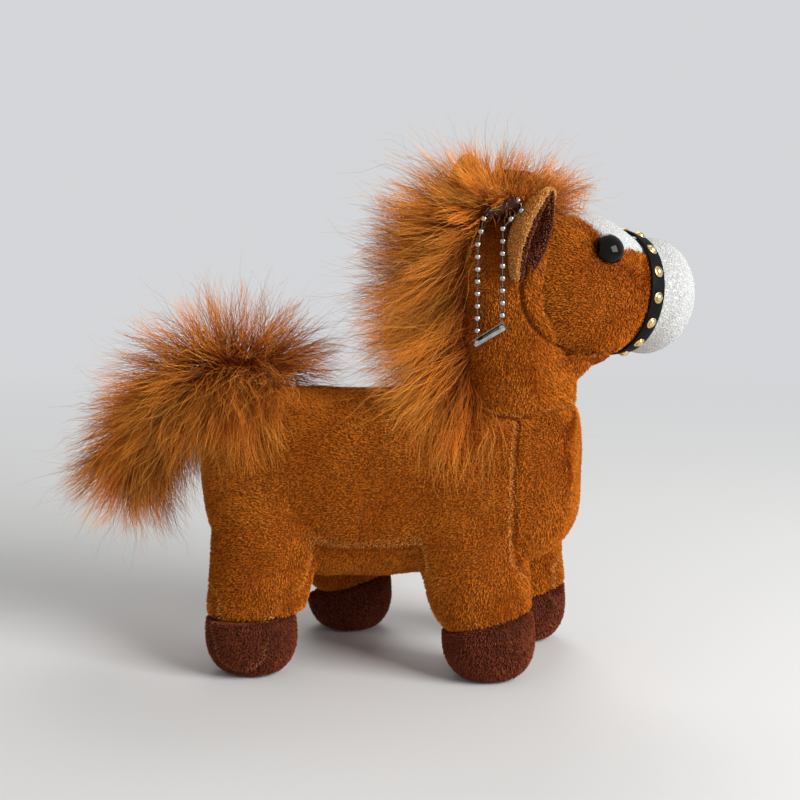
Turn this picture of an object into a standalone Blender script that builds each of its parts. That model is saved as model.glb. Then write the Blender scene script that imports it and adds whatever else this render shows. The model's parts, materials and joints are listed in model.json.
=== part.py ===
"""Small stuffed plush horse with a studded noseband, and a bead chain that hangs from a tab on its crown.

Metres, +Z up. +X is the way the body points, +Y is the horse's left, and the hooves stand on Z = 0.
"""

import math

import bmesh
import bpy
from mathutils import Matrix, Vector
from mathutils.bvhtree import BVHTree

# Covers and seams: the plush's thickness, the gap between neighbours, and a cutter's reach past the toy
COVER = 0.0010
CLEARANCE = 0.0003
FAR = 0.3
TINY = 0.000001

# Body: length from rump to chest, width, depth from back to belly, and the belly's height over the ground
BODY_LENGTH = 0.107
BODY_WIDTH = 0.0460
BODY_DEPTH = 0.0540
BELLY_HEIGHT = 0.0220
BODY_FORWARD = -0.0040
BODY_SQUARENESS = 2.55
BODY_SIDES = 12

# Underside strip between the two side panels: width, how high it climbs at the rump, and the chest's seam
GUSSET_WIDTH = 0.0390
GUSSET_RISE = 0.0240
GUSSET_CHEST_DEPTH = 0.0145

# Legs: size where they leave the body, and the height where they start inside it
LEG_LENGTHWISE = 0.0315
LEG_WIDTH = 0.0235
HIP_HEIGHT = 0.0520
LEG_SIDES = 8

# Hooves: size at their widest, height of the seam to the leg, and the depth cut flat under the sole
HOOF_LENGTH = 0.0274
HOOF_WIDTH = 0.0246
HOOF_HEIGHT = 0.0165
SOLE_CUT = 0.0005
HOOF_SIDES = 8

# Neck and crown: one upright swelling piece
NECK_RADIUS = 0.0165
NECK_LENGTH = 0.0520
NECK_LEAN = -0.0035
NECK_SIDES = 10

# Head: the middle of its round part lies ahead of and beside the neck, and below the crown
HEAD_RADIUS = 0.0209
HEAD_LENGTH = 0.0573
HEAD_AHEAD = 0.0144
HEAD_ASIDE = 0.0080
HEAD_BELOW_CROWN = 0.0232
HEAD_YAW = math.radians(41.0)
HEAD_DROP = math.radians(8.0)
HEAD_TILT = math.radians(6.0)
HEAD_SIDES = 12

# Noseband and its studs
BAND_WIDTH = 0.0040
BAND_THICKNESS = 0.0007
BAND_STEPS = 30
STUD_COUNT = 15
STUD_RADIUS = 0.00125
STUD_HEIGHT = 0.0009
STUD_STEPS = 8
STUD_RISE_STEPS = 3

# Safety eyes: dome, shank and the washer that locks it inside the head
EYE_RADIUS = 0.0035
EYE_HEIGHT = 0.0026
SHANK_RADIUS = 0.0011
SHANK_LENGTH = 0.0060
WASHER_RADIUS = 0.0042
WASHER_THICKNESS = 0.0012
EYE_STEPS = 16
EYE_ANGLE = math.radians(51.0)
DOME_STEPS = 6

# Ears: length, gap between the rims, depth of the fold behind them
EAR_LENGTH = 0.0258
EAR_OPENING = 0.0104
EAR_FOLD_DEPTH = 0.0076
EAR_THICKNESS = 0.0008
EAR_WRAP = math.radians(85.0)
EAR_COLUMNS = 4
EAR_ROOT_SHARE = 1.02
EAR_LINING_SHARE = 0.84

# Mane and tail: dense part of the long fur
MANE_THICKNESS = 0.0250
MANE_WIDTH = 0.0290
TAIL_THICKNESS = 0.0330
TAIL_WIDTH = 0.0300
FUR_SIDES = 8

# Tab: ribbon folded round the chain and sewn to the crown
TAB_WIDTH = 0.0080
TAB_BORE_RADIUS = 0.00115
TAB_RIBBON = 0.0004
TAB_ASIDE = 0.0197
TAB_BACK = 0.0018
TAB_BELOW_CROWN = 0.0004
TAB_SLOPE = math.radians(20.4)
TAB_STEM_LENGTH = 0.0110
TAB_STEM_DROP = math.radians(24.0)
TAB_STEPS = 16

# Bead chain and its folded clip
BEAD_RADIUS = 0.00075
WIRE_RADIUS = 0.00025
BEAD_PITCH = 0.0032
STRAND_PITCHES = 8
ARCH_PITCHES = 8
BEAD_POINTS = 5
PATH_PARTS = 12
PIVOT_GAP = 0.0004
CLIP_BORE_RADIUS = 0.00095
CLIP_WALL = 0.00022
CLIP_END = 0.0008
CLIP_SLOT = math.radians(34.0)
CLIP_STEPS = 12

# Body rings: place along the body, lowest and highest point and width, as shares of its sizes
BODY_RING_SHARES = (
    (0.000, 0.40, 0.68, 0.20),
    (0.020, 0.20, 0.83, 0.54),
    (0.090, 0.06, 0.96, 0.84),
    (0.270, 0.00, 1.00, 1.00),
    (0.530, 0.04, 1.00, 1.00),
    (0.790, 0.11, 1.00, 0.98),
    (0.930, 0.18, 1.00, 0.83),
    (0.985, 0.29, 0.96, 0.60),
    (1.000, 0.44, 0.88, 0.30),
)

# Leg rings: drop from the hip to the ground, and the two widths
LEG_RING_SHARES = (
    (0.00, 0.90, 0.88),
    (0.20, 1.03, 1.00),
    (0.38, 1.00, 1.00),
    (0.56, 0.93, 1.00),
    (0.80, 0.82, 1.00),
)

# Hoof rings: height and the two widths, as shares of the hoof's height and sizes
HOOF_RING_SHARES = (
    (0.00, 0.42, 0.42),
    (0.11, 0.74, 0.74),
    (0.46, 1.02, 1.02),
    (0.92, 0.97, 0.97),
    (1.30, 0.88, 0.88),
)

# Legs: hoof and hip, forward of the body's middle and to its left, as shares of its length and width; and the
# slope of the seam between leg and hoof
LEG_PLACE_SHARES = {
    "rear_right": (-0.309, -0.533, -0.276, -0.250),
    "rear_left": (-0.162, 0.465, -0.176, 0.260),
    "front_right": (0.292, -0.315, 0.196, -0.240),
    "front_left": (0.325, 0.490, 0.262, 0.240),
}
SEAM_SLOPE = {
    "rear_right": math.radians(4.0),
    "rear_left": math.radians(10.0),
    "front_right": math.radians(15.0),
    "front_left": math.radians(12.0),
}

# Neck rings: height and radius, as shares of the neck's length and radius
NECK_PLACE_SHARE = 0.3415
NECK_RING_SHARES = (
    (-0.280, 0.88),
    (0.020, 1.00),
    (0.300, 0.98),
    (0.740, 0.99),
    (0.930, 0.74),
    (1.000, 0.30),
)

# Head rings: place along the head, and radius; the noseband lies in the waist behind the muzzle
HEAD_MIDDLE_SHARE = 0.365
HEAD_RING_SHARES = (
    (0.000, 0.24),
    (0.050, 0.56),
    (0.190, 0.90),
    (0.365, 1.02),
    (0.500, 0.92),
    (0.627, 0.73),
    (0.720, 0.78),
    (0.820, 0.82),
    (0.920, 0.62),
    (0.990, 0.24),
)
BAND_PLACE_SHARE = 0.627
EYE_PLACE_SHARE = 0.315

# Blaze outline: place along the head, and half width as a share of the head's radius
BLAZE_OUTLINE_SHARES = (
    (0.235, 0.14),
    (0.262, 0.36),
    (0.300, 0.58),
    (0.400, 0.71),
    (0.560, 0.70),
    (0.700, 0.66),
)

# Ears: turn round the neck, root's drop below the crown in neck radii, the way the tip points (ahead, aside and
# up) and the way the opening faces
EAR_PLACE_SHARES = {
    "right": (math.radians(-70.0), 1.2133, (0.30, -0.16, 0.94), math.radians(-14.0)),
    "left": (math.radians(143.0), 0.6933, (-0.07, 0.36, 0.93), math.radians(68.0)),
}
EAR_WIDTH_SHARES = ((0.00, 0.50), (0.14, 0.70), (0.36, 1.00), (0.60, 0.96), (0.82, 0.62), (1.00, 0.14))

# Mane rings along its path: ahead of the neck's axis, above the back, thickness and width
MANE_RING_SHARES = (
    (0.56, 1.06, 0.24, 0.34),
    (0.26, 1.06, 0.54, 0.64),
    (-0.22, 1.08, 0.74, 0.88),
    (-0.80, 0.97, 0.94, 1.00),
    (-1.20, 0.76, 1.14, 1.00),
    (-1.30, 0.52, 1.26, 1.00),
    (-1.24, 0.28, 1.24, 1.06),
    (-1.10, 0.06, 1.00, 1.30),
    (-0.96, -0.12, 0.70, 1.56),
)

# Tail rings along its path: ahead of the rump's end and above the back in shares of the tail's thickness, then
# thickness, width and place aside
TAIL_RING_SHARES = (
    (0.84, 0.06, 0.30, 0.44, 0.00),
    (0.52, 0.10, 0.74, 0.86, 0.00),
    (0.08, 0.00, 0.98, 1.00, 0.00),
    (-0.36, -0.38, 1.06, 1.00, -0.05),
    (-0.72, -0.74, 0.98, 0.98, -0.10),
    (-1.02, -0.98, 0.68, 0.78, -0.14),
    (-1.22, -1.14, 0.30, 0.40, -0.16),
)

# Chain arch: points from the rear strand's top, through the tab, to the front strand's top, in bead pitches
ARCH_SHARES = (
    (-1.95, -3.06),
    (-1.80, -2.40),
    (-1.58, -1.50),
    (-1.42, -0.80),
    (-1.10, -0.41),
    (0.00, 0.00),
    (1.20, 0.446),
    (1.52, 0.40),
    (1.66, -0.06),
    (1.34, -0.60),
    (0.75, -0.96),
    (0.25, -1.35),
    (0.08, -1.76),
)

# Places worked out from the sizes above
BACK_HEIGHT = BELLY_HEIGHT + BODY_DEPTH
BODY_REAR = BODY_FORWARD - BODY_LENGTH / 2
NECK_FOOT = Vector((BODY_FORWARD + NECK_PLACE_SHARE * BODY_LENGTH, 0, BACK_HEIGHT))
HEAD_MIDDLE = NECK_FOOT + Vector((HEAD_AHEAD, HEAD_ASIDE, NECK_LENGTH - HEAD_BELOW_CROWN))
TAB_PLACE = NECK_FOOT + Vector((-TAB_BACK, -TAB_ASIDE, NECK_LENGTH - TAB_BELOW_CROWN))
TAB_AXIS = Vector((math.cos(TAB_SLOPE), 0, math.sin(TAB_SLOPE)))


def empty_the_scene():
    """Remove what the file held, and make the toy's collection."""
    for thing in list(bpy.data.objects):
        bpy.data.objects.remove(thing, do_unlink=True)
    parts = bpy.data.collections.new("plush_horse")
    bpy.context.scene.collection.children.link(parts)
    return parts


def finish_of(name, colour, roughness, metallic=0.0):
    """A plain surface finish."""
    material = bpy.data.materials.new(name)
    material.use_nodes = True
    shader = material.node_tree.nodes["Principled BSDF"]
    shader.inputs["Base Color"].default_value = (*colour, 1.0)
    shader.inputs["Roughness"].default_value = roughness
    shader.inputs["Metallic"].default_value = metallic
    material.diffuse_color = (*colour, 1.0)
    return material


PARTS = empty_the_scene()
BROWN_PLUSH = finish_of("brown_plush", (0.40, 0.13, 0.03), 0.85)
DARK_PLUSH = finish_of("dark_plush", (0.12, 0.03, 0.015), 0.85)
WHITE_PLUSH = finish_of("white_plush", (0.78, 0.77, 0.74), 0.85)
LONG_FUR = finish_of("long_fur", (0.45, 0.14, 0.04), 0.70)
FILLING = finish_of("filling", (0.86, 0.86, 0.84), 0.95)
BLACK_RIBBON = finish_of("black_ribbon", (0.01, 0.01, 0.012), 0.45)
BROWN_RIBBON = finish_of("brown_ribbon", (0.05, 0.02, 0.015), 0.55)
GOLD = finish_of("gold_studs", (0.80, 0.62, 0.30), 0.25, 1.0)
SILVER = finish_of("silver_chain", (0.72, 0.72, 0.72), 0.20, 1.0)
BLACK_EYE = finish_of("black_eye", (0.006, 0.006, 0.006), 0.08)
WASHER_PLASTIC = finish_of("washer_plastic", (0.75, 0.75, 0.72), 0.40)


def piece_of(name, mesh, material):
    """A named object of the toy, or of the tools that shape it."""
    piece = bpy.data.objects.new(name, mesh)
    PARTS.objects.link(piece)
    piece.data.materials.clear()
    piece.data.materials.append(material)
    return piece


def spare(*tools):
    """Remove the shapes that only helped to cut others."""
    for tool in tools:
        bpy.data.objects.remove(tool, do_unlink=True)


def close(mesh):
    """Join the points that meet and turn every face of a closed mesh outwards."""
    work = bmesh.new()
    work.from_mesh(mesh)
    bmesh.ops.remove_doubles(work, verts=work.verts, dist=TINY)
    bmesh.ops.recalc_face_normals(work, faces=work.faces)
    work.to_mesh(mesh)
    work.free()


def settle(piece):
    """Turn the piece's modifiers into its own mesh."""
    bpy.context.view_layer.update()
    depsgraph = bpy.context.evaluated_depsgraph_get()
    mesh = bpy.data.meshes.new_from_object(piece.evaluated_get(depsgraph))
    piece.modifiers.clear()
    piece.data = mesh
    return piece


def cut(piece, *tools, operation="DIFFERENCE"):
    """Cut the piece by each tool, or keep what they share."""
    for tool in tools:
        boolean = piece.modifiers.new("cut", "BOOLEAN")
        boolean.operation = operation
        boolean.object = tool
        settle(piece)
    return piece


def keep_main_body(piece):
    """Drop crumbs that a cut leaves beside the main body."""
    work = bmesh.new()
    work.from_mesh(piece.data)
    bmesh.ops.remove_doubles(work, verts=work.verts, dist=TINY)
    bmesh.ops.dissolve_degenerate(work, edges=work.edges, dist=TINY)
    left = set(work.faces)
    islands = []
    while left:
        todo = [left.pop()]
        island = list(todo)
        while todo:
            for edge in todo.pop().edges:
                for face in edge.link_faces:
                    if face in left:
                        left.discard(face)
                        todo.append(face)
                        island.append(face)
        islands.append(island)
    islands.sort(key=lambda island: sum(face.calc_area() for face in island))
    for island in islands[:-1]:
        bmesh.ops.delete(work, geom=island, context="FACES")
    work.to_mesh(piece.data)
    work.free()
    return piece


def smooth(piece):
    """Shade the round faces smooth."""
    piece.data.shade_smooth()
    piece.data.set_sharp_from_angle(angle=math.radians(40.0))
    return piece


def swelling(name, rings, sides, material, squareness=2.0, rounds=1):
    """A soft closed form: a coarse cage through rings of (middle, across, up), rounded by subdivision."""
    work = bmesh.new()
    fullness = 1 / (0.75 + 0.25 * math.cos(math.tau / sides)) if rounds else 1
    rows = []
    for middle, across, up in rings:
        row = []
        for step in range(sides):
            turn = math.tau * step / sides
            c = math.cos(turn)
            s = math.sin(turn)
            c = math.copysign(abs(c) ** (2 / squareness), c) * fullness
            s = math.copysign(abs(s) ** (2 / squareness), s) * fullness
            row.append(work.verts.new(middle + across * c + up * s))
        rows.append(row)
    for near, far in zip(rows, rows[1:]):
        for step in range(sides):
            after = (step + 1) % sides
            work.faces.new((near[step], near[after], far[after], far[step]))
    work.faces.new(rows[0])
    work.faces.new(rows[-1])
    mesh = bpy.data.meshes.new(name)
    work.to_mesh(mesh)
    work.free()
    close(mesh)
    piece = piece_of(name, mesh, material)
    rounding = piece.modifiers.new("rounding", "SUBSURF")
    rounding.levels = rounds
    rounding.render_levels = rounds
    return smooth(settle(piece))


def surface_of(piece):
    """A tree of the piece's faces, to find places on its surface."""
    places = [vertex.co for vertex in piece.data.vertices]
    faces = [tuple(face.vertices) for face in piece.data.polygons]
    return BVHTree.FromPolygons(places, faces)


def stuffed(name, cage, form):
    """A plain filling: a coarse cage, its points drawn in to lie just under the cover of the smooth form."""
    surface = surface_of(form)
    for vertex in cage.data.vertices:
        place, normal, _, _ = surface.find_nearest(vertex.co)
        vertex.co = place - normal * (COVER + CLEARANCE)
    cage.name = name
    cage.data.materials[0] = FILLING
    return cage


def grown(piece, distance, name="grown"):
    """A copy whose surface lies that far outside the piece's, or inside it."""
    mesh = piece.data.copy()
    places = [vertex.co + vertex.normal * distance for vertex in mesh.vertices]
    for vertex, place in zip(mesh.vertices, places):
        vertex.co = place
    return piece_of(name, mesh, piece.data.materials[0])


def block(low, high, name="block"):
    """A box between two corners."""
    work = bmesh.new()
    bmesh.ops.create_cube(work, size=1.0)
    middle = (Vector(low) + Vector(high)) / 2
    size = Vector(high) - Vector(low)
    matrix = Matrix.Translation(middle) @ Matrix.Diagonal((*size, 1))
    bmesh.ops.transform(work, matrix=matrix, verts=work.verts)
    mesh = bpy.data.meshes.new(name)
    work.to_mesh(mesh)
    work.free()
    return piece_of(name, mesh, FILLING)


def prism(outline, low, high, name="prism"):
    """An outline in X and Y raised from one height to another."""
    work = bmesh.new()
    floor = [work.verts.new((x, y, low)) for x, y in outline]
    roof = [work.verts.new((x, y, high)) for x, y in outline]
    work.faces.new(floor)
    work.faces.new(roof)
    for step in range(len(outline)):
        after = (step + 1) % len(outline)
        work.faces.new((floor[step], floor[after], roof[after], roof[step]))
    mesh = bpy.data.meshes.new(name)
    work.to_mesh(mesh)
    work.free()
    close(mesh)
    return piece_of(name, mesh, FILLING)


def put(piece, matrix):
    """Lay the piece's mesh where the matrix says."""
    piece.data.transform(matrix)
    return piece


def turned(name, profile, steps, material):
    """A shape turned round Z from (radius, height) points, listed down its outer side."""
    mesh = bpy.data.meshes.new(name)
    points = [(radius, 0, height) for radius, height in profile]
    edges = [(step, step + 1) for step in range(len(points) - 1)]
    mesh.from_pydata(points, edges, [])
    piece = piece_of(name, mesh, material)
    screw = piece.modifiers.new("turn", "SCREW")
    screw.steps = steps
    screw.render_steps = steps
    screw.use_merge_vertices = True
    screw.merge_threshold = TINY
    settle(piece)
    close(piece.data)
    return smooth(piece)


def frame_at(place, ahead, up):
    """The matrix that lays X along ahead and Z along up, as near as it can, at a place."""
    x = ahead.normalized()
    y = up.cross(x).normalized()
    z = x.cross(y)
    return Matrix.Translation(place) @ Matrix((x, y, z)).transposed().to_4x4()


def head_frame():
    """The head's own axes: X towards the nose, Y to its left, Z to its top, with its tilt."""
    ahead = Vector(
        (
            math.cos(HEAD_DROP) * math.cos(HEAD_YAW),
            math.cos(HEAD_DROP) * math.sin(HEAD_YAW),
            -math.sin(HEAD_DROP),
        )
    )
    level = frame_at(HEAD_MIDDLE, ahead, Vector((0, 0, 1)))
    return level @ Matrix.Rotation(HEAD_TILT, 4, "X")


def head_place(share):
    """How far ahead of the head's middle a share of its length lies."""
    return (share - HEAD_MIDDLE_SHARE) * HEAD_LENGTH


def body_form(rounds=1):
    """The body's outer form, or its coarse cage."""
    rings = []
    for along, low, high, width in BODY_RING_SHARES:
        middle = Vector((BODY_REAR + along * BODY_LENGTH, 0, BELLY_HEIGHT + (low + high) / 2 * BODY_DEPTH))
        across = Vector((0, width * BODY_WIDTH / 2, 0))
        up = Vector((0, 0, (high - low) / 2 * BODY_DEPTH))
        rings.append((middle, across, up))
    return swelling("body_form", rings, BODY_SIDES, BROWN_PLUSH, BODY_SQUARENESS, rounds)


def neck_form(rounds=1):
    """The neck's and crown's outer form, or its coarse cage."""
    rings = []
    for rise, radius in NECK_RING_SHARES:
        middle = NECK_FOOT + Vector((max(rise, 0) * NECK_LEAN, 0, rise * NECK_LENGTH))
        size = radius * NECK_RADIUS
        rings.append((middle, Vector((size, 0, 0)), Vector((0, size, 0))))
    return swelling("neck_form", rings, NECK_SIDES, BROWN_PLUSH, rounds=rounds)


def head_form(rounds=1):
    """The head's outer form, or its coarse cage."""
    frame = head_frame()
    turn = frame.to_3x3()
    rings = []
    for along, radius in HEAD_RING_SHARES:
        size = radius * HEAD_RADIUS
        middle = frame @ Vector((head_place(along), 0, 0))
        rings.append((middle, turn @ Vector((0, size, 0)), turn @ Vector((0, 0, size))))
    return swelling("head_form", rings, HEAD_SIDES, BROWN_PLUSH, rounds=rounds)


def strip_cutter(spread):
    """The space of the underside strip and chest, made wider by spread."""
    half = GUSSET_WIDTH / 2 + spread
    low = block((-FAR, -half, -FAR), (FAR, half, BELLY_HEIGHT + GUSSET_RISE + spread))
    chest = block((BODY_REAR + BODY_LENGTH - GUSSET_CHEST_DEPTH - spread, -FAR, -FAR), (FAR, FAR, FAR))
    cut(low, chest, operation="UNION")
    spare(chest)
    return low


def body_covers(body):
    """The two side panels and the underside strip, cut from one cover, and the filling inside them."""
    inner = grown(body, -COVER)
    cover = cut(grown(body, 0, "cover"), inner)
    filling = stuffed("body_filling", body_form(rounds=0), body)
    strip = strip_cutter(0)
    wide_strip = strip_cutter(CLEARANCE)
    gusset = cut(grown(cover, 0, "underside_strip"), strip, operation="INTERSECT")
    rest = cut(grown(cover, 0, "rest"), wide_strip)
    right_side = block((-FAR, -FAR, -FAR), (FAR, -CLEARANCE / 2, FAR))
    left_side = block((-FAR, CLEARANCE / 2, -FAR), (FAR, FAR, FAR))
    right = cut(grown(rest, 0, "side_panel_right"), right_side, operation="INTERSECT")
    left = cut(grown(rest, 0, "side_panel_left"), left_side, operation="INTERSECT")
    spare(inner, cover, rest, right_side, left_side, strip, wide_strip)
    for panel in (gusset, right, left):
        smooth(keep_main_body(panel))
    return [gusset, right, left, filling]


def leg_and_hoof(which, body):
    """One plush leg, cut by the body, and the darker hoof sewn under it."""
    hoof_x, hoof_y, hip_x, hip_y = LEG_PLACE_SHARES[which]
    hoof_at = Vector((BODY_FORWARD + hoof_x * BODY_LENGTH, hoof_y * BODY_WIDTH, 0))
    hip_at = Vector((BODY_FORWARD + hip_x * BODY_LENGTH, hip_y * BODY_WIDTH, 0))
    rings = []
    for drop, lengthwise, width in LEG_RING_SHARES:
        middle = hip_at.lerp(hoof_at, min(1, drop / LEG_RING_SHARES[-1][0]))
        middle.z = HIP_HEIGHT * (1 - drop)
        across = Vector((lengthwise * LEG_LENGTHWISE / 2, 0, 0))
        rings.append((middle, across, Vector((0, width * LEG_WIDTH / 2, 0))))
    leg = swelling("leg_" + which, rings, LEG_SIDES, BROWN_PLUSH)
    rings = []
    for rise, length, width in HOOF_RING_SHARES:
        middle = hoof_at + Vector((0, 0, rise * HOOF_HEIGHT))
        across = Vector((length * HOOF_LENGTH / 2, 0, 0))
        rings.append((middle, across, Vector((0, width * HOOF_WIDTH / 2, 0))))
    hoof = swelling("hoof_" + which, rings, HOOF_SIDES, DARK_PLUSH)
    lowest = min(vertex.co.z for vertex in hoof.data.vertices)
    put(hoof, Matrix.Translation((0, 0, -SOLE_CUT - lowest)))
    seam_at = hoof_at + Vector((0, 0, HOOF_HEIGHT))
    seam = Matrix.Translation(seam_at) @ Matrix.Rotation(-SEAM_SLOPE[which], 4, "Y")
    under_seam = put(block((-FAR, -FAR, -FAR), (FAR, FAR, CLEARANCE / 2)), seam)
    over_seam = put(block((-FAR, -FAR, -CLEARANCE / 2), (FAR, FAR, FAR)), seam)
    ground = block((-FAR, -FAR, -FAR), (FAR, FAR, 0))
    around = grown(body, CLEARANCE)
    cut(leg, around, under_seam)
    cut(hoof, over_seam, ground)
    spare(under_seam, over_seam, ground, around)
    return [smooth(keep_main_body(leg)), smooth(keep_main_body(hoof))]


def neck_cover(neck, body, head):
    """The neck's cover, open at the body and at the head, with its filling."""
    inner = grown(neck, -COVER)
    around = [grown(body, CLEARANCE), grown(head, CLEARANCE)]
    cover = cut(grown(neck, 0, "neck_cover"), inner, *around)
    filling = cut(stuffed("neck_filling", neck_form(rounds=0), neck), *around)
    spare(inner, *around)
    return [smooth(keep_main_body(cover)), smooth(keep_main_body(filling))]


def blaze_outline(spread):
    """The blaze's outline in the head's X and Y, made wider by spread."""
    right = []
    left = []
    for along, half in BLAZE_OUTLINE_SHARES:
        x = head_place(along)
        y = half * HEAD_RADIUS + spread
        right.append((x, -y))
        left.append((x, y))
    right[0] = (right[0][0] - spread, right[0][1])
    left[0] = (left[0][0] - spread, left[0][1])
    return right + left[::-1]


def eye_frames(head):
    """Where each eye's axis meets the head's surface, as {side: matrix} with Z pointing out."""
    frame = head_frame()
    turn = frame.to_3x3()
    surface = surface_of(head)
    middle = frame @ Vector((head_place(EYE_PLACE_SHARE), 0, 0))
    found = {}
    for side, sign in (("right", -1), ("left", 1)):
        out = turn @ Vector((0, sign * math.sin(EYE_ANGLE), math.cos(EYE_ANGLE)))
        place, normal, _, _ = surface.ray_cast(middle, out)
        found[side] = frame_at(place, turn.col[2].cross(normal), normal)
    return found


def head_covers(head, eyes):
    """Muzzle, blaze and two cheek panels cut from one cover, and the filling with the eyes' pockets."""
    frame = head_frame()
    inner = grown(head, -COVER)
    cover = cut(grown(head, 0, "cover"), inner)
    seam = head_place(BAND_PLACE_SHARE)
    ahead = put(block((seam + CLEARANCE / 2, -FAR, -FAR), (FAR, FAR, FAR)), frame)
    behind = put(block((-FAR, -FAR, -FAR), (seam - CLEARANCE / 2, FAR, FAR)), frame)
    muzzle = cut(grown(cover, 0, "muzzle"), ahead, operation="INTERSECT")
    rest = cut(grown(cover, 0, "rest"), behind, operation="INTERSECT")
    wedge = put(prism(blaze_outline(0), 0, FAR), frame)
    wide_wedge = put(prism(blaze_outline(CLEARANCE), -CLEARANCE, FAR), frame)
    blaze = cut(grown(rest, 0, "forehead_blaze"), wedge, operation="INTERSECT")
    cut(rest, wide_wedge)
    right_side = put(block((-FAR, -FAR, -FAR), (FAR, -CLEARANCE / 2, FAR)), frame)
    left_side = put(block((-FAR, CLEARANCE / 2, -FAR), (FAR, FAR, FAR)), frame)
    right = cut(grown(rest, 0, "cheek_panel_right"), right_side, operation="INTERSECT")
    left = cut(grown(rest, 0, "cheek_panel_left"), left_side, operation="INTERSECT")
    filling = stuffed("head_filling", head_form(rounds=0), head)
    spare(inner, cover, ahead, behind, rest, wedge, wide_wedge, right_side, left_side)
    for panel in (muzzle, blaze):
        panel.data.materials[0] = WHITE_PLUSH
    for side, panel in (("right", right), ("left", left)):
        hole = put(drum(SHANK_RADIUS + CLEARANCE, SHANK_LENGTH, -SHANK_LENGTH), eyes[side])
        cut(panel, hole)
        cut(blaze, hole)
        floor = -washer_top() - WASHER_THICKNESS - CLEARANCE
        pocket = put(drum(WASHER_RADIUS + CLEARANCE, 0, floor), eyes[side])
        cut(filling, hole, pocket)
        spare(hole, pocket)
    for panel in (muzzle, blaze, right, left, filling):
        smooth(keep_main_body(panel))
    return [muzzle, blaze, right, left, filling]


def washer_top():
    """How deep under the head's surface the washer lies, clear of the cover that curves behind it."""
    return COVER + CLEARANCE + WASHER_RADIUS**2 / HEAD_RADIUS


def drum(radius, high, low):
    """A plain round cutter on Z."""
    return turned("drum", [(0, high), (radius, high), (radius, low), (0, low)], EYE_STEPS, FILLING)


def eye_and_washer(side, frame):
    """A domed eye with its shank, and the washer pressed on the shank behind the cover."""
    dome = []
    for step in range(DOME_STEPS + 1):
        turn = math.pi / 2 * step / DOME_STEPS
        dome.append((EYE_RADIUS * math.sin(turn), CLEARANCE + EYE_HEIGHT * math.cos(turn)))
    profile = dome + [(SHANK_RADIUS, CLEARANCE), (SHANK_RADIUS, -SHANK_LENGTH), (0, -SHANK_LENGTH)]
    eye = turned("eye_" + side, profile, EYE_STEPS, BLACK_EYE)
    bore = SHANK_RADIUS + CLEARANCE / 3
    top = -washer_top()
    low = top - WASHER_THICKNESS
    ring = [(bore, top), (WASHER_RADIUS, top), (WASHER_RADIUS, low), (bore, low), (bore, top)]
    washer = turned("eye_washer_" + side, ring, EYE_STEPS, WASHER_PLASTIC)
    eye.matrix_basis = frame
    washer.matrix_basis = frame
    return [eye, washer]


def band_edges(head, angle):
    """The places under the noseband's two edges at a turn round the head, and the way out there."""
    frame = head_frame()
    out = frame.to_3x3() @ Vector((0, -math.sin(angle), math.cos(angle)))
    surface = surface_of(head)
    seam = head_place(BAND_PLACE_SHARE)
    edges = (-BAND_WIDTH / 2, BAND_WIDTH / 2)
    return [surface.ray_cast(frame @ Vector((seam + edge, 0, 0)), out)[0] for edge in edges], out


def noseband(head):
    """The ribbon round the waist behind the muzzle: rings of four corners, joined all the way round."""
    work = bmesh.new()
    rings = []
    for step in range(BAND_STEPS):
        (rear, front), out = band_edges(head, math.tau * step / BAND_STEPS)
        low = out * CLEARANCE
        high = out * (CLEARANCE + BAND_THICKNESS)
        corners = (rear + low, front + low, front + high, rear + high)
        rings.append([work.verts.new(place) for place in corners])
    for step, here in enumerate(rings):
        after = rings[(step + 1) % BAND_STEPS]
        for corner in range(4):
            following = (corner + 1) % 4
            work.faces.new((here[corner], here[following], after[following], after[corner]))
    mesh = bpy.data.meshes.new("noseband")
    work.to_mesh(mesh)
    work.free()
    close(mesh)
    return smooth(piece_of("noseband", mesh, BLACK_RIBBON))


def studs(head):
    """Dome studs at equal steps round the noseband, each seated flat on the ribbon, all of one mesh."""
    profile = []
    for step in range(STUD_RISE_STEPS + 1):
        rise = math.pi / 2 * step / STUD_RISE_STEPS
        profile.append((STUD_RADIUS * math.sin(rise), STUD_HEIGHT * math.cos(rise)))
    profile.append((0, 0))
    first = turned("stud_01", profile, STUD_STEPS, GOLD)
    made = []
    for number in range(STUD_COUNT):
        stud = first if number == 0 else piece_of(f"stud_{number + 1:02d}", first.data, GOLD)
        (rear, front), out = band_edges(head, math.tau * (number + 0.5) / STUD_COUNT)
        ahead = (front - rear).normalized()
        normal = (out - ahead * out.dot(ahead)).normalized()
        seat = (rear + front) / 2 + out * (CLEARANCE + BAND_THICKNESS) + normal * CLEARANCE
        stud.matrix_basis = frame_at(seat, ahead, normal)
        made.append(stud)
    return made


def ear_share(rise):
    """The ear's width at a share of its length, as a share of its widest."""
    for (low, narrow), (high, wide) in zip(EAR_WIDTH_SHARES, EAR_WIDTH_SHARES[1:]):
        if rise <= high:
            return narrow + (wide - narrow) * (rise - low) / (high - low)
    return EAR_WIDTH_SHARES[-1][1]


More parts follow.
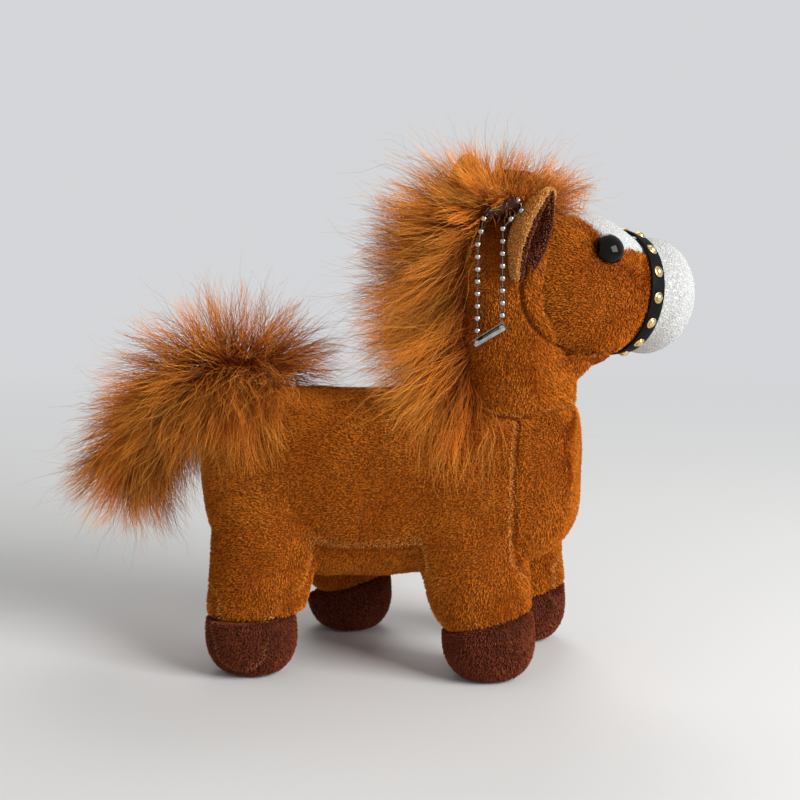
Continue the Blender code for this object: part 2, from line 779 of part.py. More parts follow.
def ear_sheet(name, side, depth, length_share, material):
    """One folded leaf of an ear with a thickness; the lining lies deeper in the fold and ends lower."""
    angle, below_crown, reach, facing = EAR_PLACE_SHARES[side]
    rise = 1 - below_crown * NECK_RADIUS / NECK_LENGTH
    axis_at = NECK_FOOT + Vector((rise * NECK_LEAN, 0, rise * NECK_LENGTH))
    root = axis_at + Vector((math.cos(angle), math.sin(angle), 0)) * (NECK_RADIUS * EAR_ROOT_SHARE)
    along = Vector(reach).normalized()
    front = Vector((math.cos(facing), math.sin(facing), 0))
    front = (front - along * front.dot(along)).normalized()
    across = along.cross(front)
    work = bmesh.new()
    grid = []
    for full_rise, _ in EAR_WIDTH_SHARES:
        rise_share = full_rise * length_share
        width_share = ear_share(rise_share)
        half = width_share * EAR_OPENING / 2 - depth
        fold = width_share * EAR_FOLD_DEPTH - depth
        row = []
        for column in range(EAR_COLUMNS):
            turn = EAR_WRAP * (2 * column / (EAR_COLUMNS - 1) - 1)
            place = root + along * (rise_share * EAR_LENGTH)
            bend = across * (half * math.sin(turn)) - front * (fold * math.cos(turn))
            row.append(work.verts.new(place + bend))
        grid.append(row)
    for low, high in zip(grid, grid[1:]):
        for column in range(EAR_COLUMNS - 1):
            work.faces.new((low[column], low[column + 1], high[column + 1], high[column]))
    bmesh.ops.recalc_face_normals(work, faces=work.faces)
    mesh = bpy.data.meshes.new(name)
    work.to_mesh(mesh)
    work.free()
    sheet = piece_of(name, mesh, material)
    rounding = sheet.modifiers.new("rounding", "SUBSURF")
    rounding.levels = 1
    rounding.render_levels = 1
    wall = sheet.modifiers.new("wall", "SOLIDIFY")
    wall.thickness = EAR_THICKNESS
    wall.offset = 0
    settle(sheet)
    close(sheet.data)
    return sheet


def ears(neck, head):
    """Two ears of an outer leaf and a dark lining, cut by the crown and the head."""
    around = [grown(neck, CLEARANCE), grown(head, CLEARANCE)]
    made = []
    for side in EAR_PLACE_SHARES:
        outer = ear_sheet("ear_" + side, side, 0, 1, BROWN_PLUSH)
        depth = EAR_THICKNESS + 2 * CLEARANCE
        lining = ear_sheet("ear_lining_" + side, side, depth, EAR_LINING_SHARE, DARK_PLUSH)
        for sheet in (outer, lining):
            made.append(smooth(keep_main_body(cut(sheet, *around))))
    spare(*around)
    return made


def along_path(places, sizes):
    """Rings square to a path through the places, from (thickness, width) halves."""
    rings = []
    for step, (place, (thick, wide)) in enumerate(zip(places, sizes)):
        before = places[max(step - 1, 0)]
        after = places[min(step + 1, len(places) - 1)]
        ahead = (after - before).normalized()
        across = Vector((0, 1, 0))
        across = (across - ahead * across.dot(ahead)).normalized()
        rings.append((place, across * wide, across.cross(ahead) * thick))
    return rings


def mane(*neighbours):
    """The dense part of the mane and forelock, from between the ears down the back of the neck."""
    places = []
    sizes = []
    for ahead, rise, thick, wide in MANE_RING_SHARES:
        places.append(NECK_FOOT + Vector((ahead * NECK_RADIUS, 0, rise * NECK_LENGTH)))
        sizes.append((thick * MANE_THICKNESS / 2, wide * MANE_WIDTH / 2))
    piece = swelling("mane", along_path(places, sizes), FUR_SIDES, LONG_FUR)
    for neighbour in neighbours:
        around = grown(neighbour, CLEARANCE)
        cut(piece, around)
        spare(around)
    return smooth(keep_main_body(piece))


def tail(body):
    """The dense part of the tail, from the top of the rump back and down."""
    places = []
    sizes = []
    for ahead, rise, thick, wide, aside in TAIL_RING_SHARES:
        place = Vector((ahead * TAIL_THICKNESS, aside * TAIL_WIDTH, rise * TAIL_THICKNESS))
        places.append(Vector((BODY_REAR, 0, BACK_HEIGHT)) + place)
        sizes.append((thick * TAIL_THICKNESS / 2, wide * TAIL_WIDTH / 2))
    piece = swelling("tail", along_path(places, sizes), FUR_SIDES, LONG_FUR)
    around = grown(body, CLEARANCE)
    cut(piece, around)
    spare(around)
    return smooth(keep_main_body(piece))


def tab(neck, head):
    """A ribbon folded round the chain, with its two plies sewn to the crown."""
    outer = TAB_BORE_RADIUS + TAB_RIBBON
    start = math.asin(TAB_RIBBON / outer)
    outline = [(TAB_STEM_LENGTH, TAB_RIBBON)]
    for step in range(TAB_STEPS + 1):
        turn = start + (math.tau - 2 * start) * step / TAB_STEPS
        outline.append((outer * math.cos(turn), outer * math.sin(turn)))
    outline.append((TAB_STEM_LENGTH, -TAB_RIBBON))
    piece = prism(outline, -TAB_WIDTH / 2, TAB_WIDTH / 2, "chain_tab")
    piece.data.materials[0] = BROWN_RIBBON
    bore = prism(circle(TAB_BORE_RADIUS, TAB_STEPS), -TAB_WIDTH, TAB_WIDTH)
    cut(piece, bore)
    inwards = Vector((0, math.cos(TAB_STEM_DROP), -math.sin(TAB_STEM_DROP)))
    inwards = (inwards - TAB_AXIS * inwards.dot(TAB_AXIS)).normalized()
    turn = Matrix((inwards, TAB_AXIS.cross(inwards), TAB_AXIS)).transposed().to_4x4()
    put(piece, Matrix.Translation(TAB_PLACE) @ turn)
    around = [grown(neck, CLEARANCE), grown(head, CLEARANCE)]
    cut(piece, *around)
    spare(bore, *around)
    return smooth(keep_main_body(piece))


def circle(radius, steps):
    """Points of a round outline."""
    turns = [math.tau * step / steps for step in range(steps)]
    return [(radius * math.cos(turn), radius * math.sin(turn)) for turn in turns]


def chain_point(across, rise):
    """A place in the chain's plane, from the middle of the tab."""
    return TAB_PLACE + Vector((across, 0, rise))


def smooth_path(points, count):
    """That many equal steps along a smooth curve through the points."""
    fine = []
    for step in range(len(points) - 1):
        p0 = points[max(step - 1, 0)]
        p1 = points[step]
        p2 = points[step + 1]
        p3 = points[min(step + 2, len(points) - 1)]
        for part in range(PATH_PARTS):
            t = part / PATH_PARTS
            bend = 2 * p0 - 5 * p1 + 4 * p2 - p3
            twist = 3 * p1 - p0 - 3 * p2 + p3
            fine.append(0.5 * (2 * p1 + (p2 - p0) * t + bend * t**2 + twist * t**3))
    fine.append(points[-1])
    reach = [0]
    for near, far in zip(fine, fine[1:]):
        reach.append(reach[-1] + (far - near).length)
    path = []
    for step in range(count + 1):
        want = reach[-1] * step / count
        at = max(i for i in range(len(fine)) if reach[i] <= want + TINY)
        after = min(at + 1, len(fine) - 1)
        span = reach[after] - reach[at]
        path.append(fine[at].lerp(fine[after], (want - reach[at]) / span if span > 0 else 0))
    return path


def strand(name, places, with_ends, pivot):
    """A length of chain: a bead at each place, joined by wire; without end beads the wire stops short."""
    points = []
    last = len(places) - 1
    for step, place in enumerate(places):
        ahead = (places[min(step + 1, last)] - places[max(step - 1, 0)]).normalized()
        if step in (0, last) and not with_ends:
            sign = 1 if step == 0 else -1
            points.append((place + ahead * (sign * (BEAD_RADIUS + PIVOT_GAP)), WIRE_RADIUS))
            continue
        for part in range(BEAD_POINTS):
            turn = math.pi * part / (BEAD_POINTS - 1)
            radius = max(BEAD_RADIUS * math.sin(turn), WIRE_RADIUS)
            points.append((place - ahead * (BEAD_RADIUS * math.cos(turn)), radius))
    curve = bpy.data.curves.new(name, "CURVE")
    curve.dimensions = "3D"
    curve.bevel_depth = 1.0
    curve.bevel_resolution = 1
    curve.use_fill_caps = True
    line = curve.splines.new("POLY")
    line.points.add(len(points) - 1)
    for knot, (place, radius) in zip(line.points, points):
        knot.co = (*(place - pivot), 1)
        knot.radius = radius
    helper = bpy.data.objects.new(name + "_line", curve)
    PARTS.objects.link(helper)
    bpy.context.view_layer.update()
    depsgraph = bpy.context.evaluated_depsgraph_get()
    mesh = bpy.data.meshes.new_from_object(helper.evaluated_get(depsgraph))
    spare(helper)
    close(mesh)
    piece = piece_of(name, mesh, SILVER)
    piece.location = pivot
    return smooth(piece)


def clip(rear, front):
    """A folded sleeve with a slot along its top, which holds the last bead of both strands."""
    ahead = (front - rear).normalized()
    reach = (front - rear).length
    inner = []
    outer = []
    for step in range(CLIP_STEPS + 1):
        turn = CLIP_SLOT + (math.tau - 2 * CLIP_SLOT) * step / CLIP_STEPS
        way = Vector((math.cos(turn), math.sin(turn)))
        inner.append(tuple(way * CLIP_BORE_RADIUS))
        outer.append(tuple(way * (CLIP_BORE_RADIUS + CLIP_WALL)))
    piece = prism(outer + inner[::-1], -reach - CLIP_END, CLIP_END, "chain_clip")
    piece.data.materials[0] = SILVER
    slot_way = ahead.cross(Vector((0, 1, 0)))
    slot_way = slot_way if slot_way.z > 0 else -slot_way
    turn = Matrix((slot_way, ahead.cross(slot_way), ahead)).transposed().to_4x4()
    piece.matrix_basis = Matrix.Translation(front) @ turn
    return smooth(piece)


def chain():
    """The arch through the tab, the two strands that hang from it, and the clip across their ends."""
    points = [chain_point(across * BEAD_PITCH, rise * BEAD_PITCH) for across, rise in ARCH_SHARES]
    arch = smooth_path(points, ARCH_PITCHES)
    made = [strand("chain_arch", arch, False, TAB_PLACE)]
    ends = []
    for name, top in (("chain_strand_rear", arch[0]), ("chain_strand_front", arch[-1])):
        places = [top - Vector((0, 0, step * BEAD_PITCH)) for step in range(STRAND_PITCHES + 1)]
        made.append(strand(name, places, True, top))
        ends.append(places[-1])
    made.append(clip(*ends))
    return made


def centre_on_floor(made):
    """Hang everything from one empty, moved so that the toy's box stands centred on the origin."""
    places = [piece.matrix_basis @ vertex.co for piece in made for vertex in piece.data.vertices]
    low = [min(place[axis] for place in places) for axis in (0, 1)]
    high = [max(place[axis] for place in places) for axis in (0, 1)]
    root = bpy.data.objects.new("plush_horse_origin", None)
    PARTS.objects.link(root)
    root.location = (-(low[0] + high[0]) / 2, -(low[1] + high[1]) / 2, 0)
    for piece in made:
        piece.parent = root


def main():
    body = body_form()
    head = head_form()
    neck = neck_form()
    made = body_covers(body)
    for which in LEG_PLACE_SHARES:
        made += leg_and_hoof(which, body)
    made += neck_cover(neck, body, head)
    eyes = eye_frames(head)
    made += head_covers(head, eyes)
    for side, frame in eyes.items():
        made += eye_and_washer(side, frame)
    made.append(noseband(head))
    made += studs(head)
    ear_sheets = ears(neck, head)
    made += ear_sheets
    chain_tab = tab(neck, head)
    made.append(chain_tab)
    made.append(mane(body, neck, head, *ear_sheets, chain_tab))
    made.append(tail(body))
    made += chain()
    spare(body, head, neck)
    centre_on_floor(made)


main()
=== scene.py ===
"""Looks of the stuffed plush horse: short pile, long fur, ribbon, studs, glossy eyes and bead chain.

Metres, +Z up. +X is the way the body points and +Y is the horse's left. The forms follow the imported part.
"""

import json
import math

import bmesh
import bpy
import numpy as np
from mathutils import Matrix, Vector, noise
from mathutils.bvhtree import BVHTree


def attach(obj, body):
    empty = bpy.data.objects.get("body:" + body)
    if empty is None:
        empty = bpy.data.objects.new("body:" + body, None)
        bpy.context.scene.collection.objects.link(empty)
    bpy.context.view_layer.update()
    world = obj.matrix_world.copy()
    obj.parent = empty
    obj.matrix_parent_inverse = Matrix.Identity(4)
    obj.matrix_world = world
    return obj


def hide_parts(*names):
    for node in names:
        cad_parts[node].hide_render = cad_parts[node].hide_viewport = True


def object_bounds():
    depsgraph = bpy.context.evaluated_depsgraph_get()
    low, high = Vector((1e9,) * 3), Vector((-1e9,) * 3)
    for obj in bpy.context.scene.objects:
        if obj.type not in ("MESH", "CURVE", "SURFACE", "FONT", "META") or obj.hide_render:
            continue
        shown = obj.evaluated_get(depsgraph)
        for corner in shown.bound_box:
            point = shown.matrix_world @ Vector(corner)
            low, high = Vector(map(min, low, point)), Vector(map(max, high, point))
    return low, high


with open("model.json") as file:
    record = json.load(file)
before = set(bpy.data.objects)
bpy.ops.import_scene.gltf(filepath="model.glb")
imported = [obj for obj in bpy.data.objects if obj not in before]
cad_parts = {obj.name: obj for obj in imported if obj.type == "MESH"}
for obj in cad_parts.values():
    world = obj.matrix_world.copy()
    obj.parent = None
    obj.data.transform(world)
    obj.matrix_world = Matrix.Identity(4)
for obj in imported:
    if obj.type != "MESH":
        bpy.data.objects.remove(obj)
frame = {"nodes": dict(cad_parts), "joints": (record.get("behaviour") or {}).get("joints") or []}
CAD_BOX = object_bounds()
RNG = np.random.default_rng(7)
noise.seed_set(7)

# Photograph: where its camera stands, its turn, its drop and its lens
CAMERA_PLACE = Vector((0.0956, -0.4174, 0.1410))
CAMERA_TURN = math.radians(13.0)
CAMERA_DROP = math.radians(9.0)
CAMERA_LENS = 70.0
BACKGROUND = (0.66, 0.67, 0.69)

# Stage: light of the room, how far off the floor fades, and lamps (name, place, size, power)
ROOM_LIGHT = 0.29
HAZE_REACH = (0.22, 0.62)
LAMPS = (
    ("key", (0.66, -0.28, 0.42), 0.42, 6.8),
    ("fill", (-0.50, -0.95, 0.60), 0.9, 0.3),
    ("rim", (-0.20, 0.80, 0.85), 0.6, 3.5),
)

# Points nearer to each other than this are one
MERGE = 1e-6

# Body
BODY_LENGTH = 0.107
BODY_WIDTH = 0.0460
BODY_DEPTH = 0.0540
BELLY_HEIGHT = 0.0220
BODY_FORWARD = -0.0040
BODY_SQUARENESS = 2.55
BODY_SIDES = 12
BACK_HEIGHT = BELLY_HEIGHT + BODY_DEPTH
BODY_REAR = BODY_FORWARD - BODY_LENGTH / 2
BODY_RING_SHARES = (
    (0.000, 0.40, 0.68, 0.20),
    (0.020, 0.20, 0.83, 0.54),
    (0.090, 0.06, 0.96, 0.84),
    (0.270, 0.00, 1.00, 1.00),
    (0.530, 0.04, 1.00, 1.00),
    (0.790, 0.11, 1.00, 0.98),
    (0.930, 0.18, 1.00, 0.83),
    (0.985, 0.29, 0.96, 0.60),
    (1.000, 0.44, 0.88, 0.30),
)

# Seams: depth and width of their crease, their rounded corner, the slit between two forms,
# and the distance that counts as far from them
SEAM_DEPTH = 0.0009
SEAM_SPREAD = 0.0009
SEAM_CORNER = 0.0080
SEAM_GAP = 0.0002
SEAM_FAR = 0.004

# Underside strip: its width, its climb at the rump and how it narrows behind the chest's seam
STRIP_WIDTH = 0.0390
STRIP_RISE = 0.0240
STRIP_NARROWING = 0.0065
STRIP_NARROWS = (-0.024, -0.008)

# Chest strip: its depth, and how far its seam runs forward below these heights
CHEST_DEPTH = 0.0145
CHEST_SEAM_RUN = 0.014
CHEST_SEAM_LOW = (0.022, 0.034)

# Rump, where the side panels meet: its reach from the rear, its rise in belly heights and the seam's shift
RUMP_REACH = (0.010, 0.024)
RUMP_RISE = (1.05, 1.5)
RUMP_SHIFT = 0.012

# Legs and hooves
LEG_LENGTHWISE = 0.0315
LEG_WIDTH = 0.0235
HIP_HEIGHT = 0.0520
LEG_SIDES = 8
HOOF_LENGTH = 0.0274
HOOF_WIDTH = 0.0246
HOOF_HEIGHT = 0.0165
SOLE_SINK = 0.0003
SOLE_BARE = 0.0009
LEG_RING_SHARES = (
    (0.00, 0.90, 0.88),
    (0.20, 1.03, 1.00),
    (0.38, 1.00, 1.00),
    (0.56, 0.93, 1.00),
    (0.80, 0.87, 1.03),
)
HOOF_RING_SHARES = (
    (0.00, 0.42, 0.42),
    (0.11, 0.74, 0.74),
    (0.46, 0.98, 0.99),
    (0.92, 0.95, 0.96),
    (1.30, 0.90, 0.90),
)
LEG_PLACE_SHARES = {
    "rear_right": (-0.309, -0.533, -0.276, -0.250),
    "rear_left": (-0.162, 0.465, -0.176, 0.260),
    "front_right": (0.292, -0.315, 0.196, -0.240),
    "front_left": (0.325, 0.490, 0.262, 0.240),
}
SEAM_SLOPE = {
    "rear_right": math.radians(4.0),
    "rear_left": math.radians(20.0),
    "front_right": math.radians(15.0),
    "front_left": math.radians(16.0),
}
LEFT_SEAM_SHARE = 0.86
EDGE_REACH = 0.0034
HOOF_EDGE = 0.0005

# Side seam on a leg: its place outside the leg's middle, where it begins, and where it is left shallow
LEG_SEAM_OUT = {"rear": 0.0082, "front": -0.0060}
LEG_SEAM_NEAR = (0.010, 0.018)
LEG_SEAM_LOW = (0.020, 0.032)
CALM_ABOVE = (0.0010, 0.0060)
CALM_NEAR = (0.016, 0.020)

# Neck
NECK_RADIUS = 0.0165
NECK_LENGTH = 0.0520
NECK_LEAN = -0.0035
NECK_SIDES = 10
NECK_PLACE_SHARE = 0.3415
NECK_RING_SHARES = (
    (-0.280, 0.88),
    (0.020, 1.00),
    (0.300, 0.98),
    (0.740, 0.99),
    (0.930, 0.74),
    (1.000, 0.30),
)
NECK_FOOT = Vector((BODY_FORWARD + NECK_PLACE_SHARE * BODY_LENGTH, 0, BACK_HEIGHT))

# Head
HEAD_RADIUS = 0.0209
HEAD_LENGTH = 0.0573
HEAD_AHEAD = 0.0144
HEAD_ASIDE = 0.0080
HEAD_ABOVE = 0.0288
HEAD_YAW = math.radians(41.0)
HEAD_DROP = math.radians(8.0)
HEAD_TILT = math.radians(6.0)
HEAD_SIDES = 12
HEAD_MIDDLE_SHARE = 0.365
HEAD_RING_SHARES = (
    (0.000, 0.24),
    (0.050, 0.66),
    (0.190, 0.97),
    (0.365, 1.03),
    (0.500, 0.92),
    (0.627, 0.73),
    (0.720, 0.78),
    (0.820, 0.82),
    (0.920, 0.62),
    (0.990, 0.24),
)
HEAD_MIDDLE = NECK_FOOT + Vector((HEAD_AHEAD, HEAD_ASIDE, HEAD_ABOVE))
BLAZE_OUTLINE_SHARES = (
    (0.235, 0.14),
    (0.262, 0.38),
    (0.300, 0.60),
    (0.345, 0.70),
    (0.400, 0.70),
    (0.500, 0.58),
    (0.600, 0.46),
    (0.700, 0.40),
)

# Throat, which fills the corner between jaw and neck: (rise, foremost place, half size, place aside)
THROAT_RINGS = (
    (0.0030, 0.0145, 0.0080, 0.0010),
    (0.0060, 0.0176, 0.0090, 0.0020),
    (0.0090, 0.0208, 0.0098, 0.0030),
    (0.0120, 0.0248, 0.0105, 0.0042),
    (0.0150, 0.0271, 0.0105, 0.0055),
    (0.0190, 0.0266, 0.0095, 0.0065),
)

# Right cheek's round rear seam, which lies over the neck, measured from the neck's foot
CHEEK_AHEAD = 0.0205
CHEEK_ABOVE = 0.0304
CHEEK_RADIUS = 0.0180
CHEEK_PROUD = 0.0013
CHEEK_STEP = (-0.0020, -0.0002)
CHEEK_SIDE = (-0.006, -0.001)
CHEEK_COVER = 0.0015
CHEEK_SPREAD = SEAM_SPREAD * 0.6

# Noseband, with its section as shares across and up, and studs, with the rolled foot of their dome
BAND_PLACE_SHARE = 0.627
BAND_WIDTH = 0.0050
BAND_THICKNESS = 0.0007
BAND_STEPS = 264
BAND_RIB = 0.00005
BAND_LIFT = 0.0002
BAND_SECTION = (
    (0.04, 0.0),
    (0.96, 0.0),
    (1.0, 0.3),
    (0.985, 0.8),
    (0.93, 1.0),
    (0.07, 1.0),
    (0.015, 0.8),
    (0.0, 0.3),
)
STUD_COUNT = 15
STUD_RADIUS = 0.00160
STUD_HEIGHT = 0.0010
STUD_FOOT = ((0.86, 0.34), (0.98, 0.22), (1.00, 0.08), (0.96, -0.12), (0.00, -0.12))

# Eyes: dome, flange under it (share of the radius, height) and shank (radius, height)
EYE_RADIUS = 0.0040
EYE_HEIGHT = 0.0026
EYE_FLANGE = 0.0011
EYE_FOOT = ((1.03, 0.0008), (1.03, 0.0001), (0.98, -0.0002))
EYE_SHANK = ((0.0011, -0.0003), (0.0011, -0.006), (0, -0.006))
EYE_PLACE_SHARE = 0.298
EYE_ANGLE = math.radians(52.5)

# Ears: turn round the crown, root's height, the tip's reach, and the way they face
EAR_LENGTH = 0.0258
EAR_OPENING = 0.0104
EAR_FOLD_DEPTH = 0.0076
EAR_THICKNESS = 0.0010
EAR_WRAP = math.radians(88.0)
LINING_WRAP = math.radians(96.0)
EAR_ROOT_SHARE = 1.02
# Ears' rims: strength of the painted highlight that makes them paler, and where it begins and ends before
# the opening
EAR_RIM = 0.75
EAR_RIM_REACH = (-0.0022, -0.0006)
EAR_ROWS = 13
EAR_COLUMNS = 11
EAR_PLACES = {
    "right": (math.radians(-70.0), 0.615, (0.30, -0.16, 0.94), math.radians(-27.0)),
    "left": (math.radians(143.0), 0.780, (-0.07, 0.36, 0.93), math.radians(68.0)),
}
EAR_WIDTH_SHARES = ((0.00, 0.50), (0.14, 0.70), (0.36, 1.00), (0.60, 0.96), (0.82, 0.62), (1.00, 0.14))

# Tab, bead chain and clip
TAB_WIDTH = 0.0080
TAB_BORE_RADIUS = 0.00115
TAB_RIBBON = 0.0004
TAB_PLY_GAP = 0.00006
TAB_ASIDE = 0.0197
TAB_BACK = 0.0018
TAB_BELOW_CROWN = 0.0004
TAB_SLOPE = math.radians(20.4)
TAB_STEM_LENGTH = 0.0110
TAB_STEM_DROP = math.radians(14.0)
BEAD_RADIUS = 0.00090
WIRE_RADIUS = 0.00017
WIRE_SHADOW = 0.55
BEAD_PITCH = 0.0032
STRAND_PITCHES = 8
ARCH_PITCHES = 8
CLIP_BORE_RADIUS = 0.00095
CLIP_WALL = 0.00022
CLIP_END = 0.0008
CLIP_EDGE = 0.00007
CLIP_SLOT = math.radians(34.0)
CLIP_ROLL = math.radians(48.0)
ARCH_SHARES = (
    (-1.95, -3.06),
    (-1.80, -2.40),
    (-1.58, -1.50),
    (-1.42, -0.80),
    (-1.10, -0.41),
    (0.00, 0.00),
    (1.20, 0.446),
    (1.52, 0.40),
    (1.66, -0.06),
    (1.34, -0.60),
    (0.75, -0.96),
    (0.25, -1.35),
    (0.08, -1.76),
)
TAB_PLACE = NECK_FOOT + Vector((-TAB_BACK, -TAB_ASIDE, NECK_LENGTH - TAB_BELOW_CROWN))
TAB_AXIS = Vector((math.cos(TAB_SLOPE), 0, math.sin(TAB_SLOPE)))

# The forms above are written from the body's middle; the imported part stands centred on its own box
SWING = next(joint for joint in frame["joints"] if joint["name"] == "chain_swing")
SHIFT = Vector(SWING["pos_m"]) - TAB_PLACE
for place in (NECK_FOOT, HEAD_MIDDLE, TAB_PLACE, CAMERA_PLACE):
    place += SHIFT
BODY_REAR += SHIFT.x
BODY_MIDDLE_X = BODY_FORWARD + SHIFT.x
BODY_MIDDLE_Y = SHIFT.y
CHEST_SEAM_X = BODY_REAR + BODY_LENGTH - CHEST_DEPTH

# Mane and tail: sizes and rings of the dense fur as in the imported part, and the share that the core fills
MANE_THICKNESS = 0.0250
MANE_WIDTH = 0.0290
MANE_RING_SHARES = (
    (0.56, 1.06, 0.24, 0.34),
    (0.26, 1.06, 0.54, 0.64),
    (-0.22, 1.08, 0.74, 0.88),
    (-0.80, 0.97, 0.94, 1.00),
    (-1.20, 0.76, 1.14, 1.00),
    (-1.30, 0.52, 1.26, 1.00),
    (-1.24, 0.28, 1.24, 1.06),
    (-1.10, 0.06, 1.00, 1.30),
    (-0.96, -0.12, 0.70, 1.56),
)
TAIL_THICKNESS = 0.0330
TAIL_WIDTH = 0.0300
TAIL_RING_SHARES = (
    (0.84, 0.06, 0.30, 0.44, 0.00),
    (0.52, 0.10, 0.74, 0.86, 0.00),
    (0.08, 0.00, 0.98, 1.00, 0.00),
    (-0.36, -0.38, 1.06, 1.00, -0.05),
    (-0.72, -0.74, 0.98, 0.98, -0.10),
    (-1.02, -0.98, 0.68, 0.78, -0.14),
    (-1.22, -1.14, 0.30, 0.40, -0.16),
)
CORE_SHARE = 0.62
CORE_ROUGH = 0.0011

# Cushions: fineness of their meshes, depth of the skin under the pile, and the filling's lumps
SKIN_VOXEL = 0.0008
HEAD_VOXEL = 0.0007
SKIN_SINK = 0.0004
LUMP_SIZE = 0.013
LUMP_HEIGHT = 0.0007

# Pile: length and width of a tuft, how dense, how far it leans and how its tufts differ
PILE_SIZE = (0.00088, 0.00030)
HOOF_PILE_SIZE = (0.00070, 0.00027)
WHITE_PILE_SIZE = (0.00016, 0.00044)
EAR_PILE_SIZE = (0.00045, 0.00026)
PILE_DENSITY = 5.4e6
PILE_LEAN = 0.9
PILE_UNRULY = 0.36
PILE_LENGTHS = (0.70, 1.25)

# Pile beside seams: bare width, place of the lighter tips that are a painted highlight along a seam's
# ridge, the jaw's and the neck's seams, and the depth under which a skin counts as hidden inside the toy
SEAM_BARE = 0.00028
SEAM_LIGHT = 0.00085
CHEEK_BARE = SEAM_BARE * 1.2
JAW_DEPTH = 0.0010
JAW_BARE = 0.0007
NECK_SEAM_RISE = 0.0007
INSIDE_DEPTH = 0.0022


def add(name, mesh):
    """A mesh object in the scene."""
    piece = bpy.data.objects.new(name, mesh)
    bpy.context.scene.collection.objects.link(piece)
    return piece


def drop(*things):
    """Remove shapes that only helped to make others."""
    for thing in things:
        bpy.data.objects.remove(thing, do_unlink=True)


def settle(piece):
    """Turn the piece's modifiers into its own mesh."""
    bpy.context.view_layer.update()
    depsgraph = bpy.context.evaluated_depsgraph_get()
    mesh = bpy.data.meshes.new_from_object(piece.evaluated_get(depsgraph))
    piece.modifiers.clear()
    piece.data = mesh
    return piece


def from_work(name, work):
    """A mesh object of what bmesh holds, closed and facing out."""
    bmesh.ops.remove_doubles(work, verts=work.verts, dist=MERGE)
    bmesh.ops.recalc_face_normals(work, faces=work.faces)
    mesh = bpy.data.meshes.new(name)
    work.to_mesh(mesh)
    work.free()
    return add(name, mesh)


def places_of(mesh):
    """The mesh's points and their normals as arrays."""
    rows = []
    for kind in ("co", "normal"):
        values = np.empty(len(mesh.vertices) * 3)
        mesh.vertices.foreach_get(kind, values)
        rows.append(values.reshape(-1, 3))
    return rows


def move_to(mesh, co):
    """Put the mesh's points where the array says."""
    mesh.vertices.foreach_set("co", co.ravel())
    mesh.update()


def pushed(piece, height):
    """Move the piece's points out along their normals."""
    co, normal = places_of(piece.data)
    move_to(piece.data, co + normal * np.reshape(height, (-1, 1)))


def mark(mesh, name, values, kind="FLOAT"):
    """Store a value, or a vector, at each point of the mesh."""
    attribute = mesh.attributes.get(name) or mesh.attributes.new(name, kind, "POINT")
    attribute.data.foreach_set("value" if kind == "FLOAT" else "vector", np.ravel(values))


def marked(mesh, name):
    """The values or vectors stored at the mesh's points."""
    attribute = mesh.attributes[name]
    vector = attribute.data_type == "FLOAT_VECTOR"
    values = np.empty(len(mesh.vertices) * (3 if vector else 1))
    attribute.data.foreach_get("vector" if vector else "value", values)
    return values.reshape(-1, 3) if vector else values


def surface_of(piece):
    """A tree of the faces of a piece or a mesh, to find places on it."""
    mesh = getattr(piece, "data", piece)
    places = [vertex.co for vertex in mesh.vertices]
    return BVHTree.FromPolygons(places, [tuple(face.vertices) for face in mesh.polygons])


def joined(name, pieces):
    """One loose mesh of all the pieces."""
    work = bmesh.new()
    for piece in pieces:
        work.from_mesh(piece.data)
    mesh = bpy.data.meshes.new(name)
    work.to_mesh(mesh)
    work.free()
    return mesh


def smoothstep(low, high, x):
    """A soft step from 0 at low to 1 at high."""
    t = np.clip((x - low) / (high - low), 0, 1)
    return t * t * (3 - 2 * t)


def unit(rows):
    """Each row at length one."""
    return rows / np.maximum(np.linalg.norm(rows, axis=1, keepdims=True), 1e-12)


def drift(co, size, seed, kind=noise.noise, steps=(3.7, 1.3, 2.1)):
    """Smooth noise at each point, from -1 to 1, with patches of about that size."""
    shift = Vector([seed * step for step in steps])
    return np.array([kind(Vector(c) / size + shift) for c in co])


def rounded(piece, levels):
    """Round the piece by subdivision."""
    rounding = piece.modifiers.new("rounding", "SUBSURF")
    rounding.levels = levels
    rounding.render_levels = levels
    return settle(piece)


def bridge(work, rows, closed=True):
    """Faces between neighbouring rows of points, closed rows or open ones."""
    for near, far in zip(rows, rows[1:]):
        for step in range(len(near) if closed else len(near) - 1):
            after = (step + 1) % len(near)
            work.faces.new((near[step], near[after], far[after], far[step]))


def swelling(name, rings, sides, squareness=2.0):
    """A soft closed form: a coarse cage through rings of (middle, across, up), rounded by subdivision."""
    work = bmesh.new()
    fullness = 1 / (0.75 + 0.25 * math.cos(math.tau / sides))
    rows = []
    for middle, across, up in rings:
        row = []
        for step in range(sides):
            turn = math.tau * step / sides
            c = math.cos(turn)
            s = math.sin(turn)
            c = math.copysign(abs(c) ** (2 / squareness), c) * fullness
            s = math.copysign(abs(s) ** (2 / squareness), s) * fullness
            row.append(work.verts.new(middle + across * c + up * s))
        rows.append(row)
    bridge(work, rows)
    work.faces.new(rows[0])
    work.faces.new(rows[-1])
    return rounded(from_work(name, work), 3)


def level_ring(middle, long, wide):
    """A level ring of a swelling form, with its half sizes along and across the body."""
    return middle, Vector((long, 0, 0)), Vector((0, wide, 0))


def sliced(piece, place, outward):
    """Cut the closed form flat at a plane and drop what lies on its outward side."""
    work = bmesh.new()
    work.from_mesh(piece.data)
    geom = list(work.verts) + list(work.edges) + list(work.faces)
    found = bmesh.ops.bisect_plane(work, geom=geom, plane_co=place, plane_no=outward, clear_outer=True)
    edges = [edge for edge in found["geom_cut"] if isinstance(edge, bmesh.types.BMEdge)]
    bmesh.ops.holes_fill(work, edges=edges, sides=0)
    bmesh.ops.recalc_face_normals(work, faces=work.faces)
    work.to_mesh(piece.data)
    work.free()
    return piece


